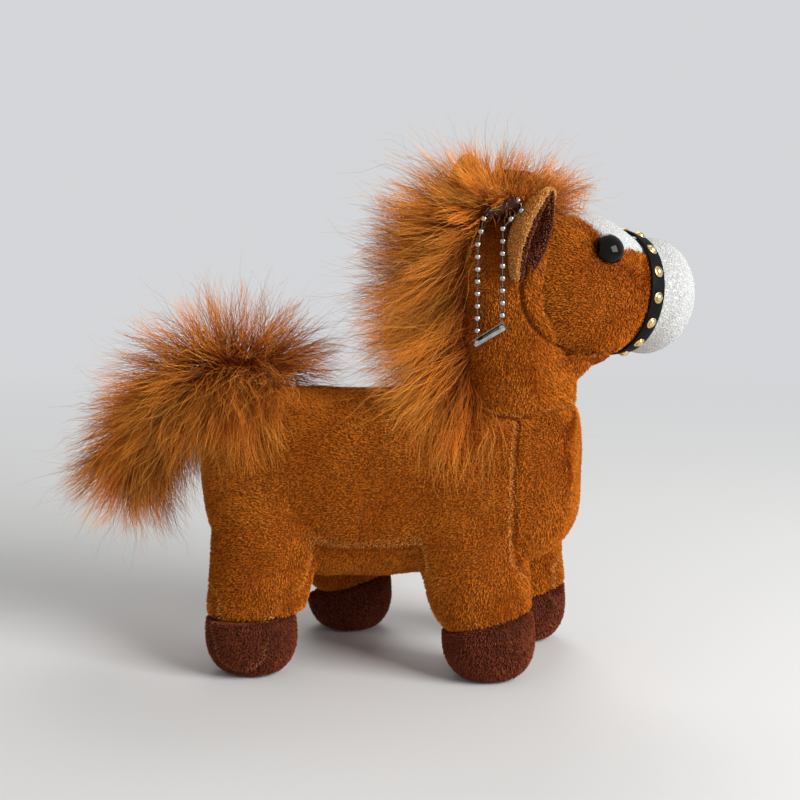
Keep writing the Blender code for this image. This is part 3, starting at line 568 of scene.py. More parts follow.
def stuffed(name, forms, voxel, rounds, sink=0.0):
    """One smooth cushion of the forms together, its edges rounded and its surface drawn in by sink."""
    piece = add(name, joined(name, forms))
    remesh = piece.modifiers.new("skin", "REMESH")
    remesh.mode = "VOXEL"
    remesh.voxel_size = voxel
    ease = piece.modifiers.new("ease", "SMOOTH")
    ease.factor = 0.5
    ease.iterations = rounds
    settle(piece)
    drop(*forms)
    if sink:
        pushed(piece, -sink)
    piece.data.shade_smooth()
    return piece


def tightened(piece, surface, which):
    """Lay the cushion back on its form beside the seam of leg and hoof, where the cloth's edge is crisp."""
    co, _ = places_of(piece.data)
    place, up = seam_plane(which)
    height = np.abs((co - np.array(place)) @ np.array(up))
    aside = np.linalg.norm(co[:, :2] - np.array(place)[:2], axis=1)
    hold = (1 - smoothstep(EDGE_REACH * 0.5, EDGE_REACH, height)) * (aside < HOOF_LENGTH)
    for index in np.nonzero(hold > 0)[0]:
        near = surface.find_nearest(Vector(co[index]), EDGE_REACH * 2)[0]
        if near is not None:
            co[index] += (np.array(near) - co[index]) * hold[index]
    move_to(piece.data, co)


def head_frame():
    """The head's own axes: X towards the nose, Y to its left, Z to its top."""
    level = math.cos(HEAD_DROP)
    ahead = Vector((level * math.cos(HEAD_YAW), level * math.sin(HEAD_YAW), -math.sin(HEAD_DROP)))
    return frame_at(HEAD_MIDDLE, ahead, Vector((0, 0, 1))) @ Matrix.Rotation(HEAD_TILT, 4, "X")


def frame_at(place, ahead, up):
    """The matrix that lays X along ahead and Z along up, as near as it can, at a place."""
    x = ahead.normalized()
    y = up.cross(x).normalized()
    return Matrix.Translation(place) @ Matrix((x, y, x.cross(y))).transposed().to_4x4()


def head_place(share):
    """How far ahead of the head's middle a share of its length lies."""
    return (share - HEAD_MIDDLE_SHARE) * HEAD_LENGTH


def body_form():
    """The trunk's form."""
    rings = []
    for along, low, high, width in BODY_RING_SHARES:
        height = BELLY_HEIGHT + (low + high) / 2 * BODY_DEPTH
        middle = Vector((BODY_REAR + along * BODY_LENGTH, BODY_MIDDLE_Y, height))
        across = Vector((0, width * BODY_WIDTH / 2, 0))
        rings.append((middle, across, Vector((0, 0, (high - low) / 2 * BODY_DEPTH))))
    return swelling("trunk", rings, BODY_SIDES, BODY_SQUARENESS)


def leg_places(which):
    """Where a leg's hip and hoof stand, on the ground plan."""
    hoof_x, hoof_y, hip_x, hip_y = LEG_PLACE_SHARES[which]
    middle = Vector((BODY_MIDDLE_X, BODY_MIDDLE_Y, 0))
    hoof = middle + Vector((hoof_x * BODY_LENGTH, hoof_y * BODY_WIDTH, 0))
    hip = middle + Vector((hip_x * BODY_LENGTH, hip_y * BODY_WIDTH, 0))
    return hip, hoof


def seam_plane(which):
    """A place on the seam between leg and hoof, and the way up across it."""
    _, hoof = leg_places(which)
    turn = Matrix.Rotation(-SEAM_SLOPE[which], 3, "Y")
    height = HOOF_HEIGHT * (LEFT_SEAM_SHARE if "left" in which else 1)
    return hoof + Vector((0, 0, height)), turn @ Vector((0, 0, 1))


def leg_form(which):
    """One leg, cut at the seam to its hoof."""
    hip, hoof = leg_places(which)
    rings = []
    for fall, long, wide in LEG_RING_SHARES:
        middle = hip.lerp(hoof, min(1, fall / LEG_RING_SHARES[-1][0]))
        middle.z = HIP_HEIGHT * (1 - fall)
        rings.append(level_ring(middle, long * LEG_LENGTHWISE / 2, wide * LEG_WIDTH / 2))
    place, up = seam_plane(which)
    return sliced(swelling("leg", rings, LEG_SIDES), place + up * SEAM_GAP, -up)


def hoof_form(which):
    """One hoof, cut at the seam to its leg and flat on the ground."""
    _, hoof = leg_places(which)
    rings = []
    for rise, long, wide in HOOF_RING_SHARES:
        middle = hoof + Vector((0, 0, rise * HOOF_HEIGHT))
        rings.append(level_ring(middle, long * HOOF_LENGTH / 2, wide * HOOF_WIDTH / 2))
    form = swelling("hoof", rings, LEG_SIDES)
    co, _ = places_of(form.data)
    co[:, 2] -= co[:, 2].min() + SOLE_SINK
    move_to(form.data, co)
    place, up = seam_plane(which)
    sliced(form, place - up * SEAM_GAP, up)
    return sliced(form, Vector((0, 0, 0)), Vector((0, 0, -1)))


def neck_form():
    """The neck and crown."""
    rings = []
    for rise, radius in NECK_RING_SHARES:
        middle = NECK_FOOT + Vector((max(rise, 0) * NECK_LEAN, 0, rise * NECK_LENGTH))
        rings.append(level_ring(middle, radius * NECK_RADIUS, radius * NECK_RADIUS))
    return swelling("neck", rings, NECK_SIDES)


def throat_form():
    """The soft filling between jaw and neck."""
    rings = []
    for rise, foremost, size, aside in THROAT_RINGS:
        middle = NECK_FOOT + Vector((foremost - size, aside, rise))
        rings.append(level_ring(middle, size, size))
    return swelling("throat", rings, NECK_SIDES)


def head_form():
    """The whole head with its muzzle."""
    frame_of_head = head_frame()
    turn = frame_of_head.to_3x3()
    rings = []
    for along, radius in HEAD_RING_SHARES:
        size = radius * HEAD_RADIUS
        middle = frame_of_head @ Vector((head_place(along), 0, 0))
        rings.append((middle, turn @ Vector((0, size, 0)), turn @ Vector((0, 0, size))))
    return swelling("head", rings, HEAD_SIDES)


def leg_seam_y(co):
    """How far each point lies outside the side seam, which runs down a leg's own middle on that leg."""
    side = np.abs(co[:, 1] - BODY_MIDDLE_Y)
    narrow = smoothstep(*STRIP_NARROWS, co[:, 0] - CHEST_SEAM_X)
    seam = STRIP_WIDTH / 2 - STRIP_NARROWING * narrow
    for which in LEG_PLACE_SHARES:
        hip, hoof = leg_places(which)
        fall = np.clip((1 - co[:, 2] / HIP_HEIGHT) / LEG_RING_SHARES[-1][0], 0, 1)
        x = hip.x + (hoof.x - hip.x) * fall
        y = hip.y + (hoof.y - hip.y) * fall - BODY_MIDDLE_Y
        out = np.abs(y) + LEG_SEAM_OUT[which.split("_")[0]]
        near = 1 - smoothstep(*LEG_SEAM_NEAR, np.abs(co[:, 0] - x))
        near = near * (1 - smoothstep(*LEG_SEAM_LOW, co[:, 2]))
        near = near * (np.sign(co[:, 1] - BODY_MIDDLE_Y) == np.sign(y))
        seam = seam * (1 - near) + out * near
    return side - seam


def body_seam(co):
    """Signed distance to the seams that bound the side panels: above zero on a side panel."""
    strip = np.maximum(leg_seam_y(co), co[:, 2] - (BELLY_HEIGHT + STRIP_RISE))
    chest = CHEST_SEAM_X - co[:, 0] + CHEST_SEAM_RUN * (1 - smoothstep(*CHEST_SEAM_LOW, co[:, 2]))
    close = np.clip(1 - np.abs(strip - chest) / SEAM_CORNER, 0, 1)
    rump = 1 - smoothstep(*RUMP_REACH, co[:, 0] - BODY_REAR)
    rump = rump * smoothstep(BELLY_HEIGHT * RUMP_RISE[0], BELLY_HEIGHT * RUMP_RISE[1], co[:, 2])
    return np.minimum(strip, chest) - close * close * SEAM_CORNER / 4 + RUMP_SHIFT * rump


def creased(piece, distance, depth=SEAM_DEPTH, spread=SEAM_SPREAD):
    """Draw the skin in along a seam, where distance is near zero."""
    pushed(piece, -np.exp(-((distance / spread) ** 2)) * depth)


def away_from(distance, co, step=0.0003):
    """The way in which the distance to a seam grows, at each point."""
    here = distance(co)
    rows = [distance(co + np.eye(3)[axis] * step) - here for axis in range(3)]
    return here, unit(np.stack(rows, 1))


def part_pile(piece, distance, light=1.0, reach=SEAM_BARE):
    """Leave the pile out along a seam, part it to both sides and mark lighter tips beside it: a painted
    highlight on the seam's ridge.
    """
    co, _ = places_of(piece.data)
    here, away = away_from(distance, co)
    near = np.exp(-((here / (SEAM_LIGHT * 1.2)) ** 2))[:, None]
    nap = marked(piece.data, "nap") * (1 - near) + away * np.sign(here)[:, None] * near * 1.3
    mark(piece.data, "nap", nap, "FLOAT_VECTOR")
    bare = 1 - smoothstep(reach * 0.6, reach * 1.4, np.abs(here))
    # painted highlight: paler tips in a line beside the seam, as strong as light says
    pale = light * np.exp(-(((here - SEAM_LIGHT) / (SEAM_LIGHT * 0.6)) ** 2))
    for name, values in (("bare", bare), ("pale", pale)):
        if name in piece.data.attributes:
            values = np.maximum(marked(piece.data, name), values)
        mark(piece.data, name, values)


def distance_to(surface, reach=SEAM_FAR):
    """How far points lie from a surface, up to a reach."""
    return lambda co: np.array([surface.find_nearest(Vector(c), reach)[3] or reach for c in co])


def cheek_edge(co):
    """How far outside the right cheek's round seam each point lies; towards the left side it keeps away."""
    middle = NECK_FOOT + Vector((CHEEK_AHEAD, 0, CHEEK_ABOVE))
    away = np.hypot(co[:, 0] - middle.x, co[:, 2] - middle.z) - CHEEK_RADIUS
    fade = smoothstep(*CHEEK_SIDE, co[:, 1] - middle.y)
    return away + np.where(away < 0, -1, 1) * fade * SEAM_FAR


def jaw_distance(surface):
    """The distance to the surface across the jaw, without the stretch that the round cheek covers."""
    plain = distance_to(surface)
    return lambda co: plain(co) + SEAM_FAR * ((cheek_edge(co) < CHEEK_COVER) & (co[:, 1] < NECK_FOOT.y))


def lay_nap(piece, way):
    """Store which way the pile leans on the skin, turned from place to place as by a stroking hand."""
    co, normal = places_of(piece.data)
    turn = drift(co, 0.009, 1) * 0.9 + drift(co, 0.003, 2) * 0.6
    nap = unit(way(co) - normal * np.sum(way(co) * normal, axis=1, keepdims=True))
    nap = nap * np.cos(turn)[:, None] + np.cross(normal, nap) * np.sin(turn)[:, None]
    mark(piece.data, "nap", nap, "FLOAT_VECTOR")


def body_nap(co):
    """Pile on trunk and legs lies backwards and down, and straight down on the legs."""
    low = 1 - smoothstep(0.018, 0.040, co[:, 2])
    way = np.zeros((len(co), 3))
    way[:, 0] = -1 + 0.9 * low
    way[:, 2] = -0.45 - 0.55 * low
    return way


def head_nap(co):
    """Pile on the head lies back from the nose, and a little down."""
    ahead = np.array(head_frame().to_3x3().col[0])
    return np.tile(-ahead + np.array([0, 0, -0.25]), (len(co), 1))


def neck_nap(co):
    """Pile on the neck lies down."""
    return np.tile(np.array([0.15, 0.0, -1.0]), (len(co), 1))


def feed(target, inputs):
    """Link sockets to a node's inputs, or set these to values."""
    for name, value in inputs.items():
        if hasattr(value, "links"):
            target.id_data.links.new(value, target.inputs[name])
        else:
            target.inputs[name].default_value = value


def node(tree, kind, inputs=None, out=0, **settings):
    """A new node with its settings and inputs. Gives one of its outputs."""
    made = tree.nodes.new(kind)
    for name, value in settings.items():
        setattr(made, name, value)
    feed(made, inputs or {})
    return made.outputs[out]


def reckon(tree, operation, *values, **settings):
    """The result of a sum on values or sockets."""
    return node(tree, "ShaderNodeMath", dict(enumerate(values)), operation=operation, **settings)


def kept(tree, name, kind="FLOAT"):
    """What the points of a mesh hold under a name."""
    return node(tree, "GeometryNodeInputNamedAttribute", {"Name": name}, "Attribute", data_type=kind)


def keep(tree, shape, name, value, domain="POINT"):
    """The shape with a value held under a name."""
    inputs = {"Geometry": shape, "Name": name, "Value": value}
    return node(tree, "GeometryNodeStoreNamedAttribute", inputs, data_type="FLOAT", domain=domain)


def growth_tree(name, **inputs):
    """A geometry tree with a finish and other inputs, and the sockets that give them."""
    tree = bpy.data.node_groups.new(name, "GeometryNodeTree")
    for title, kind in {"Geometry": "Geometry", **inputs, "Finish": "Material"}.items():
        tree.interface.new_socket(name=title, in_out="INPUT", socket_type="NodeSocket" + kind)
    tree.interface.new_socket(name="Geometry", in_out="OUTPUT", socket_type="NodeSocketGeometry")
    return tree, tree.nodes.new("NodeGroupInput").outputs


def finished(tree, shape, given):
    """The tree with the shape as its result: real faces that have the finish."""
    real = node(tree, "GeometryNodeRealizeInstances", {"Geometry": shape})
    result = node(tree, "GeometryNodeSetMaterial", {"Geometry": real, "Material": given["Finish"]})
    feed(tree.nodes.new("NodeGroupOutput"), {"Geometry": result})
    return tree


def pile_tree():
    """Short pile: tufts scattered over a skin, leaning with its nap."""
    tree, given = growth_tree("pile", Density="Float", Length="Float", Width="Float", Seed="Int")
    crowd = reckon(tree, "MULTIPLY", given["Density"], reckon(tree, "SUBTRACT", 1.0, kept(tree, "bare")))
    inputs = {"Mesh": given["Geometry"], "Density": crowd, "Seed": given["Seed"]}
    points = node(tree, "GeometryNodeDistributePointsOnFaces", inputs, "Points")
    held = tree.nodes.new("GeometryNodeCaptureAttribute")
    held.capture_items.new("VECTOR", "Out")
    feed(held, {"Geometry": points, "Out": points.node.outputs["Normal"]})
    nap = kept(tree, "nap", "FLOAT_VECTOR")
    lean = node(tree, "ShaderNodeVectorMath", {0: nap, "Scale": PILE_LEAN}, operation="SCALE")
    aim = node(tree, "ShaderNodeVectorMath", {0: held.outputs["Out"], 1: lean}, operation="ADD")
    inputs = {0: (-PILE_UNRULY,) * 3, 1: (PILE_UNRULY,) * 3, "Seed": given["Seed"]}
    unruly = node(tree, "FunctionNodeRandomValue", inputs, data_type="FLOAT_VECTOR")
    aim = node(tree, "ShaderNodeVectorMath", {0: aim, 1: unruly}, operation="ADD")
    stand = node(tree, "FunctionNodeAlignRotationToVector", {"Vector": aim}, axis="Z")
    inputs = {"Vertices": 3, "Radius Top": 0.0, "Radius Bottom": 1.0, "Depth": 1.0}
    tuft = node(tree, "GeometryNodeMeshCone", inputs, "Mesh", fill_type="NGON")
    height = node(tree, "ShaderNodeSeparateXYZ", {"Vector": node(tree, "GeometryNodeInputPosition")}, "Z")
    tuft = keep(tree, tuft, "along", height)
    inputs = {2: PILE_LENGTHS[0], 3: PILE_LENGTHS[1], "Seed": given["Seed"]}
    long = node(tree, "FunctionNodeRandomValue", inputs, 1, data_type="FLOAT")
    long = reckon(tree, "MULTIPLY", given["Length"], long)
    size = node(tree, "ShaderNodeCombineXYZ", {"X": given["Width"], "Y": given["Width"], "Z": long})
    inputs = {"Points": held.outputs["Geometry"], "Instance": tuft, "Rotation": stand, "Scale": size}
    tufts = node(tree, "GeometryNodeInstanceOnPoints", inputs)
    chance = node(tree, "FunctionNodeRandomValue", {"Seed": 5}, 1, data_type="FLOAT")
    return finished(tree, keep(tree, tufts, "shade", chance, "INSTANCE"), given)


def strand_tree():
    """Long fur: every line of the mesh becomes a thin strand of its own radius."""
    tree, given = growth_tree("strands", Sides="Int")
    curve = node(tree, "GeometryNodeMeshToCurve", {"Mesh": given["Geometry"]})
    ring = node(tree, "GeometryNodeCurvePrimitiveCircle", {"Radius": 1.0, "Resolution": given["Sides"]})
    inputs = {"Curve": curve, "Profile Curve": ring, "Scale": kept(tree, "width"), "Fill Caps": True}
    return finished(tree, node(tree, "GeometryNodeCurveToMesh", inputs), given)


def repeat_tree(name, shape_in, **inputs):
    """Copies of one small shape at the points of a mesh, turned to each point's way."""
    tree, given = growth_tree(name, **inputs)
    way = kept(tree, "way", "FLOAT_VECTOR")
    stand = node(tree, "FunctionNodeAlignRotationToVector", {"Vector": way}, axis="Z")
    points = node(tree, "GeometryNodeMeshToPoints", {"Mesh": given["Geometry"]})
    inputs = {"Points": points, "Instance": shape_in(tree, given), "Rotation": stand}
    return finished(tree, node(tree, "GeometryNodeInstanceOnPoints", inputs), given)


def grown(piece, tree, **values):
    """Run a geometry tree on the piece and keep its result as the piece's own mesh."""
    modifier = piece.modifiers.new("growth", "NODES")
    modifier.node_group = tree
    for item in tree.interface.items_tree:
        if item.in_out == "INPUT" and item.name in values:
            modifier[item.identifier] = values[item.name]
    return settle(piece)


def patch(piece, rule):
    """A copy of the skin's faces whose middle the rule keeps."""
    work = bmesh.new()
    work.from_mesh(piece.data)
    work.faces.ensure_lookup_table()
    middles = np.array([face.calc_center_median() for face in work.faces])
    wanted = rule(middles)
    bmesh.ops.delete(work, geom=[f for f, good in zip(work.faces, wanted) if not good], context="FACES")
    mesh = bpy.data.meshes.new(piece.name + "_patch")
    work.to_mesh(mesh)
    work.free()
    return add(piece.name + "_patch", mesh)


# Finishes
def noise_node(tree, place, scale, detail=2.0, rough=0.55):
    """A noise texture on the given coordinates."""
    inputs = {"Scale": scale, "Detail": detail, "Roughness": rough, "Vector": place}
    return node(tree, "ShaderNodeTexNoise", inputs, "Fac")


def mixed(tree, factor, first, second):
    """A colour mix of two sockets or colours."""
    inputs = {"Factor": factor, "A": first, "B": second}
    return node(tree, "ShaderNodeMix", inputs, "Result", data_type="RGBA")


def ranged(tree, value, low, high, to_low=0.0, to_high=1.0):
    """A value spread from one range to another."""
    inputs = {"Value": value, "From Min": low, "From Max": high, "To Min": to_low, "To Max": to_high}
    return node(tree, "ShaderNodeMapRange", inputs, "Result")


def coordinates(tree):
    """The piece's own coordinates."""
    return node(tree, "ShaderNodeTexCoord", out="Object")


def seen(tree, name):
    """The values that the mesh holds under a name."""
    return node(tree, "ShaderNodeAttribute", out="Fac", attribute_name=name)


def fibre_group():
    """Colour of pile and fur: dark at the root as painted shade deep in the pile, light at the tip, with
    lighter patches of painted sheen, different on each strand.
    """
    tree = bpy.data.node_groups.new("fibre", "ShaderNodeTree")
    sockets = [(name, "INPUT", "Color") for name in ("Root", "Tip", "Patch", "Pale")]
    sockets += [("Patch Size", "INPUT", "Float"), ("Spread", "INPUT", "Float")]
    sockets += [("Colour", "OUTPUT", "Color"), ("Rough", "OUTPUT", "Float")]
    for name, way, kind in sockets:
        tree.interface.new_socket(name=name, in_out=way, socket_type="NodeSocket" + kind)
    given = tree.nodes.new("NodeGroupInput").outputs
    shade = seen(tree, "shade")
    # painted sheen: patches of the lighter Patch colour, where the nap would catch light
    patches = noise_node(tree, coordinates(tree), given["Patch Size"], 3.0, 0.5)
    tip = mixed(tree, ranged(tree, patches, 0.35, 0.68), given["Tip"], given["Patch"])
    # paler tips where the mesh marks them: the fur's own paler strands, and painted highlights beside seams
    # and on the ears' rims
    tip = mixed(tree, seen(tree, "pale"), tip, given["Pale"])
    # darker towards the root: painted shade deep in the pile and fur
    colour = mixed(tree, ranged(tree, seen(tree, "along"), 0.0, 0.9), given["Root"], tip)
    differ = reckon(tree, "MULTIPLY_ADD", ranged(tree, shade, 0, 1, -0.5, 0.5), given["Spread"], 1.0)
    colour = node(tree, "ShaderNodeHueSaturation", {"Color": colour, "Value": differ})
    rough = ranged(tree, shade, 0, 1, 0.60, 0.85)
    feed(tree.nodes.new("NodeGroupOutput"), {"Colour": colour, "Rough": rough})
    return tree


FIBRE = fibre_group()


def finish_of(name):
    """A new material, its shader and its tree."""
    material = bpy.data.materials.new(name)
    material.use_nodes = True
    return material, material.node_tree.nodes["Principled BSDF"], material.node_tree


def fibre_finish(name, colours, patch_size, spread, sheen=0.05, tint=(1, 0.6, 0.3), gloss=0.08):
    """Strands of pile or fur, with the colours of root, tip, patch and pale tip."""
    material, shader, tree = finish_of(name)
    inputs = {part: (*colour, 1) for part, colour in zip(("Root", "Tip", "Patch", "Pale"), colours)}
    inputs.update({"Patch Size": patch_size, "Spread": spread})
    look = node(tree, "ShaderNodeGroup", inputs, "Colour", node_tree=FIBRE)
    feed(shader, {
        "Base Color": look,
        "Roughness": look.node.outputs["Rough"],
        "Sheen Weight": sheen,
        "Sheen Tint": (*tint, 1),
        "Sheen Roughness": 0.45,
        "Specular IOR Level": gloss,
    })
    return material


def cloth_finish(name, dark, light, grain, size=1800.0, depth=0.0003):
    """The backing that the pile stands on, seen between its tufts; where its colours are as dark as the
    roots, that is painted shade between the tufts.
    """
    material, shader, tree = finish_of(name)
    where = coordinates(tree)
    fleck = noise_node(tree, where, size, 3.0)
    colour = mixed(tree, ranged(tree, fleck, 0.35, 0.65), (*dark, 1), (*light, 1))
    broad = ranged(tree, noise_node(tree, where, grain), 0.3, 0.7, 0.0, 0.5)
    bump = node(tree, "ShaderNodeBump", {"Distance": depth, "Strength": 0.8, "Height": fleck})
    feed(shader, {
        "Base Color": mixed(tree, broad, colour, (*light, 1)),
        "Normal": bump,
        "Roughness": 0.9,
        "Specular IOR Level": 0.15,
    })
    return material


def ribbon_finish(name, dark, light, roughness, gloss=0.25):
    """Satin ribbon with a fine rib."""
    material, shader, tree = finish_of(name)
    where = coordinates(tree)
    rib = noise_node(tree, where, 2600.0)
    # lighter blotches at random, mixed into the colour
    blotches = ranged(tree, noise_node(tree, where, 260.0, 3.0), 0.3, 0.75)
    feed(shader, {
        "Base Color": mixed(tree, blotches, (*dark, 1), (*light, 1)),
        "Roughness": ranged(tree, rib, 0.3, 0.7, roughness - 0.08, roughness + 0.15),
        "Normal": node(tree, "ShaderNodeBump", {"Distance": 0.00006, "Height": rib}),
        "Specular IOR Level": gloss,
    })
    return material


def metal_finish(name, colour, dull, roughness):
    """Plated metal with faint darker patches, and painted shade where the mesh marks it: at the beads'
    poles round the wire, and on the wire.
    """
    material, shader, tree = finish_of(name)
    spot = noise_node(tree, coordinates(tree), 700.0, 3.0)
    plated = mixed(tree, ranged(tree, spot, 0.45, 0.75), (*colour, 1), (*dull, 1))
    feed(shader, {
        # painted shade colour, mixed in where the mesh marks painted shade
        "Base Color": mixed(tree, seen(tree, "hole"), plated, (0.03, 0.028, 0.026, 1)),
        "Roughness": ranged(tree, spot, 0.3, 0.8, roughness, roughness + 0.18),
        "Metallic": 1.0,
    })
    return material


def eye_finish():
    """Black glossy plastic."""
    material, shader, tree = finish_of("eye_plastic")
    haze = noise_node(tree, coordinates(tree), 900.0)
    feed(shader, {
        "Base Color": mixed(tree, haze, (0.002, 0.0015, 0.0015, 1), (0.006, 0.004, 0.003, 1)),
        "Roughness": ranged(tree, haze, 0.3, 0.7, 0.03, 0.07),
        "Specular IOR Level": 0.13,
    })
    return material


def plain_finish(name, colour, shade, roughness):
    """A plain plastic, hidden inside the toy."""
    material, shader, tree = finish_of(name)
    fleck = noise_node(tree, coordinates(tree), 400.0)
    feed(shader, {"Base Color": mixed(tree, fleck, (*colour, 1), (*shade, 1)), "Roughness": roughness})
    return material


# Root, tip, patch and pale colours. A root darker than its tip is painted shade deep in the pile and fur;
# the lighter patch is painted sheen
CHESTNUT = ((0.240, 0.043, 0.003), (0.540, 0.142, 0.008), (0.760, 0.245, 0.019), (0.84, 0.37, 0.075))
DARK_BROWN = ((0.070, 0.015, 0.007), (0.220, 0.045, 0.017), (0.310, 0.073, 0.029), (0.46, 0.14, 0.060))
TAN = ((0.540, 0.195, 0.036), (0.880, 0.390, 0.080), (0.930, 0.520, 0.140), (0.93, 0.58, 0.20))
WHITE = ((0.62, 0.62, 0.61), (0.64, 0.64, 0.63), (0.66, 0.66, 0.65), (0.66, 0.66, 0.65))
FUR = ((0.230, 0.038, 0.003), (0.840, 0.200, 0.010), (0.940, 0.335, 0.026), (0.95, 0.48, 0.100))
BROWN_PILE = fibre_finish("brown_pile", CHESTNUT, 75.0, 0.82)
DARK_PILE = fibre_finish("dark_pile", DARK_BROWN, 130.0, 0.7)
EAR_PILE = fibre_finish("ear_pile", TAN, 150.0, 0.6)
WHITE_PILE = fibre_finish("white_pile", WHITE, 120.0, 0.06, tint=(1, 1, 1))
LONG_FUR = fibre_finish("long_fur", FUR, 90.0, 1.15, sheen=0.03, gloss=0.14)
# Backings as dark as the roots: painted shade seen between the tufts
BROWN_CLOTH = cloth_finish("brown_cloth", (0.18, 0.036, 0.003), (0.38, 0.096, 0.007), 120.0)
EAR_CLOTH = cloth_finish("ear_cloth", (0.32, 0.120, 0.024), (0.46, 0.190, 0.045), 120.0)
DARK_CLOTH = cloth_finish("dark_cloth", (0.022, 0.006, 0.003), (0.065, 0.015, 0.007), 160.0)
WHITE_CLOTH = cloth_finish("white_cloth", (0.61, 0.61, 0.60), (0.65, 0.65, 0.64), 120.0)
# dark underfur: painted shade deep in the mane and tail
UNDERFUR_SHADE = cloth_finish("underfur", (0.08, 0.015, 0.001), (0.26, 0.054, 0.004), 300.0, 900.0, 0.0012)
BLACK_RIBBON = ribbon_finish("black_ribbon", (0.002, 0.002, 0.0022), (0.006, 0.0055, 0.0055), 0.55, 0.09)
BROWN_RIBBON = ribbon_finish("brown_ribbon", (0.022, 0.007, 0.006), (0.065, 0.020, 0.015), 0.6)
GOLD = metal_finish("pale_gold", (0.80, 0.57, 0.27), (0.50, 0.32, 0.12), 0.18)
SILVER = metal_finish("bright_nickel", (0.46, 0.455, 0.44), (0.26, 0.255, 0.245), 0.10)
EYE_PLASTIC = eye_finish()
WASHER_PLASTIC = plain_finish("washer_plastic", (0.75, 0.75, 0.72), (0.68, 0.68, 0.65), 0.4)
PILE = pile_tree()
STRANDS = strand_tree()


def dressed(piece, finish, slot, replaced=(), body="root"):
    """Give a piece its finish, its body and the nodes that it stands for, which it hides. The slot is not
    used.
    """
    piece.data.materials.clear()
    piece.data.materials.append(finish)
    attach(piece, body)
    if replaced:
        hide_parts(*replaced)
    return piece


def piled(name, skin, finish, slot, rule, seed, size=PILE_SIZE, density=PILE_DENSITY):
    """The pile on a skin, or on the part of it that the rule keeps, as a piece of its own."""
    base = patch(skin, rule or (lambda middles: np.ones(len(middles), bool)))
    base.name = name
    grown(base, PILE, Density=density, Length=size[0], Width=size[1], Seed=seed, Finish=finish)
    base.data.name = name
    return dressed(base, finish, slot)


def make_body():
    """The trunk with its four legs as one sewn skin, and its pile."""
    legs = {which: leg_form(which) for which in LEG_PLACE_SHARES}
    surfaces = {which: surface_of(leg) for which, leg in legs.items()}
    skin = stuffed("body_plush", [body_form(), *legs.values()], SKIN_VOXEL, 7)
    for which, surface in surfaces.items():
        tightened(skin, surface, which)
    co, _ = places_of(skin.data)
    lumps = drift(co, LUMP_SIZE, 5) * smoothstep(HOOF_HEIGHT, HOOF_HEIGHT * 1.6, co[:, 2])
    pushed(skin, lumps * LUMP_HEIGHT)
    co, _ = places_of(skin.data)
    calm = np.ones(len(co))
    for which in LEG_PLACE_SHARES:
        place, up = (np.array(part) for part in seam_plane(which))
        rear = "rear" in which
        above = smoothstep(*CALM_ABOVE, (co - place) @ up)
        low = 1 - smoothstep(*CALM_NEAR, np.linalg.norm(co[:, :2] - place[:2], axis=1))
        low = low * (1.0 if rear else 0.5)
        calm *= 1 - low * (1 - above * (1.0 if rear else 0.3))
    creased(skin, body_seam(co), SEAM_DEPTH * calm)
    back = np.where(co[:, 2] > BELLY_HEIGHT + STRIP_RISE, co[:, 1] - BODY_MIDDLE_Y, 1.0)
    back = np.where(co[:, 0] < CHEST_SEAM_X, back, 1.0)
    creased(skin, back, SEAM_DEPTH / 2)
    pushed(skin, -SKIN_SINK)
    lay_nap(skin, body_nap)
    # painted highlight beside the body's seams, at full strength
    part_pile(skin, body_seam)

    def quarter(right, front):
        return lambda m: ((m[:, 1] < BODY_MIDDLE_Y) == right) & ((m[:, 0] > BODY_MIDDLE_X) == front)

    for seed, which in enumerate(LEG_PLACE_SHARES):
        rule = quarter("right" in which, "front" in which)
        piled("pile_" + which, skin, BROWN_PILE, "brown_plush", rule, seed + 1)
    nodes = ["side_panel_right", "side_panel_left", "underside_strip", "body_filling"]
    nodes += ["leg_" + which for which in LEG_PLACE_SHARES]
    return dressed(skin, BROWN_CLOTH, "brown_plush", nodes)


def make_hooves():
    """Four darker hooves, each of two halves with a seam down its front."""
    for seed, which in enumerate(LEG_PLACE_SHARES):
        form = hoof_form(which)
        surface = surface_of(form)
        skin = stuffed("hoof_plush_" + which, [form], HEAD_VOXEL, 5)
        tightened(skin, surface, which)
        creased(skin, leg_seam_y(places_of(skin.data)[0]), SEAM_DEPTH * 0.7, SEAM_SPREAD * 0.8)
        co, normal = places_of(skin.data)
        co = co - normal * SKIN_SINK
        co[:, 2] = np.maximum(co[:, 2], 0.0)
        move_to(skin.data, co)
        lay_nap(skin, body_nap)
        part_pile(skin, leg_seam_y)
        place, up = (np.array(part) for part in seam_plane(which))

        def shown(middles):
            return (middles[:, 2] > SOLE_BARE) & ((middles - place) @ up < -HOOF_EDGE)

        piled("hoof_pile_" + which, skin, DARK_PILE, "dark_plush", shown, seed + 11, HOOF_PILE_SIZE)
        dressed(skin, DARK_CLOTH, "dark_plush", ["hoof_" + which])


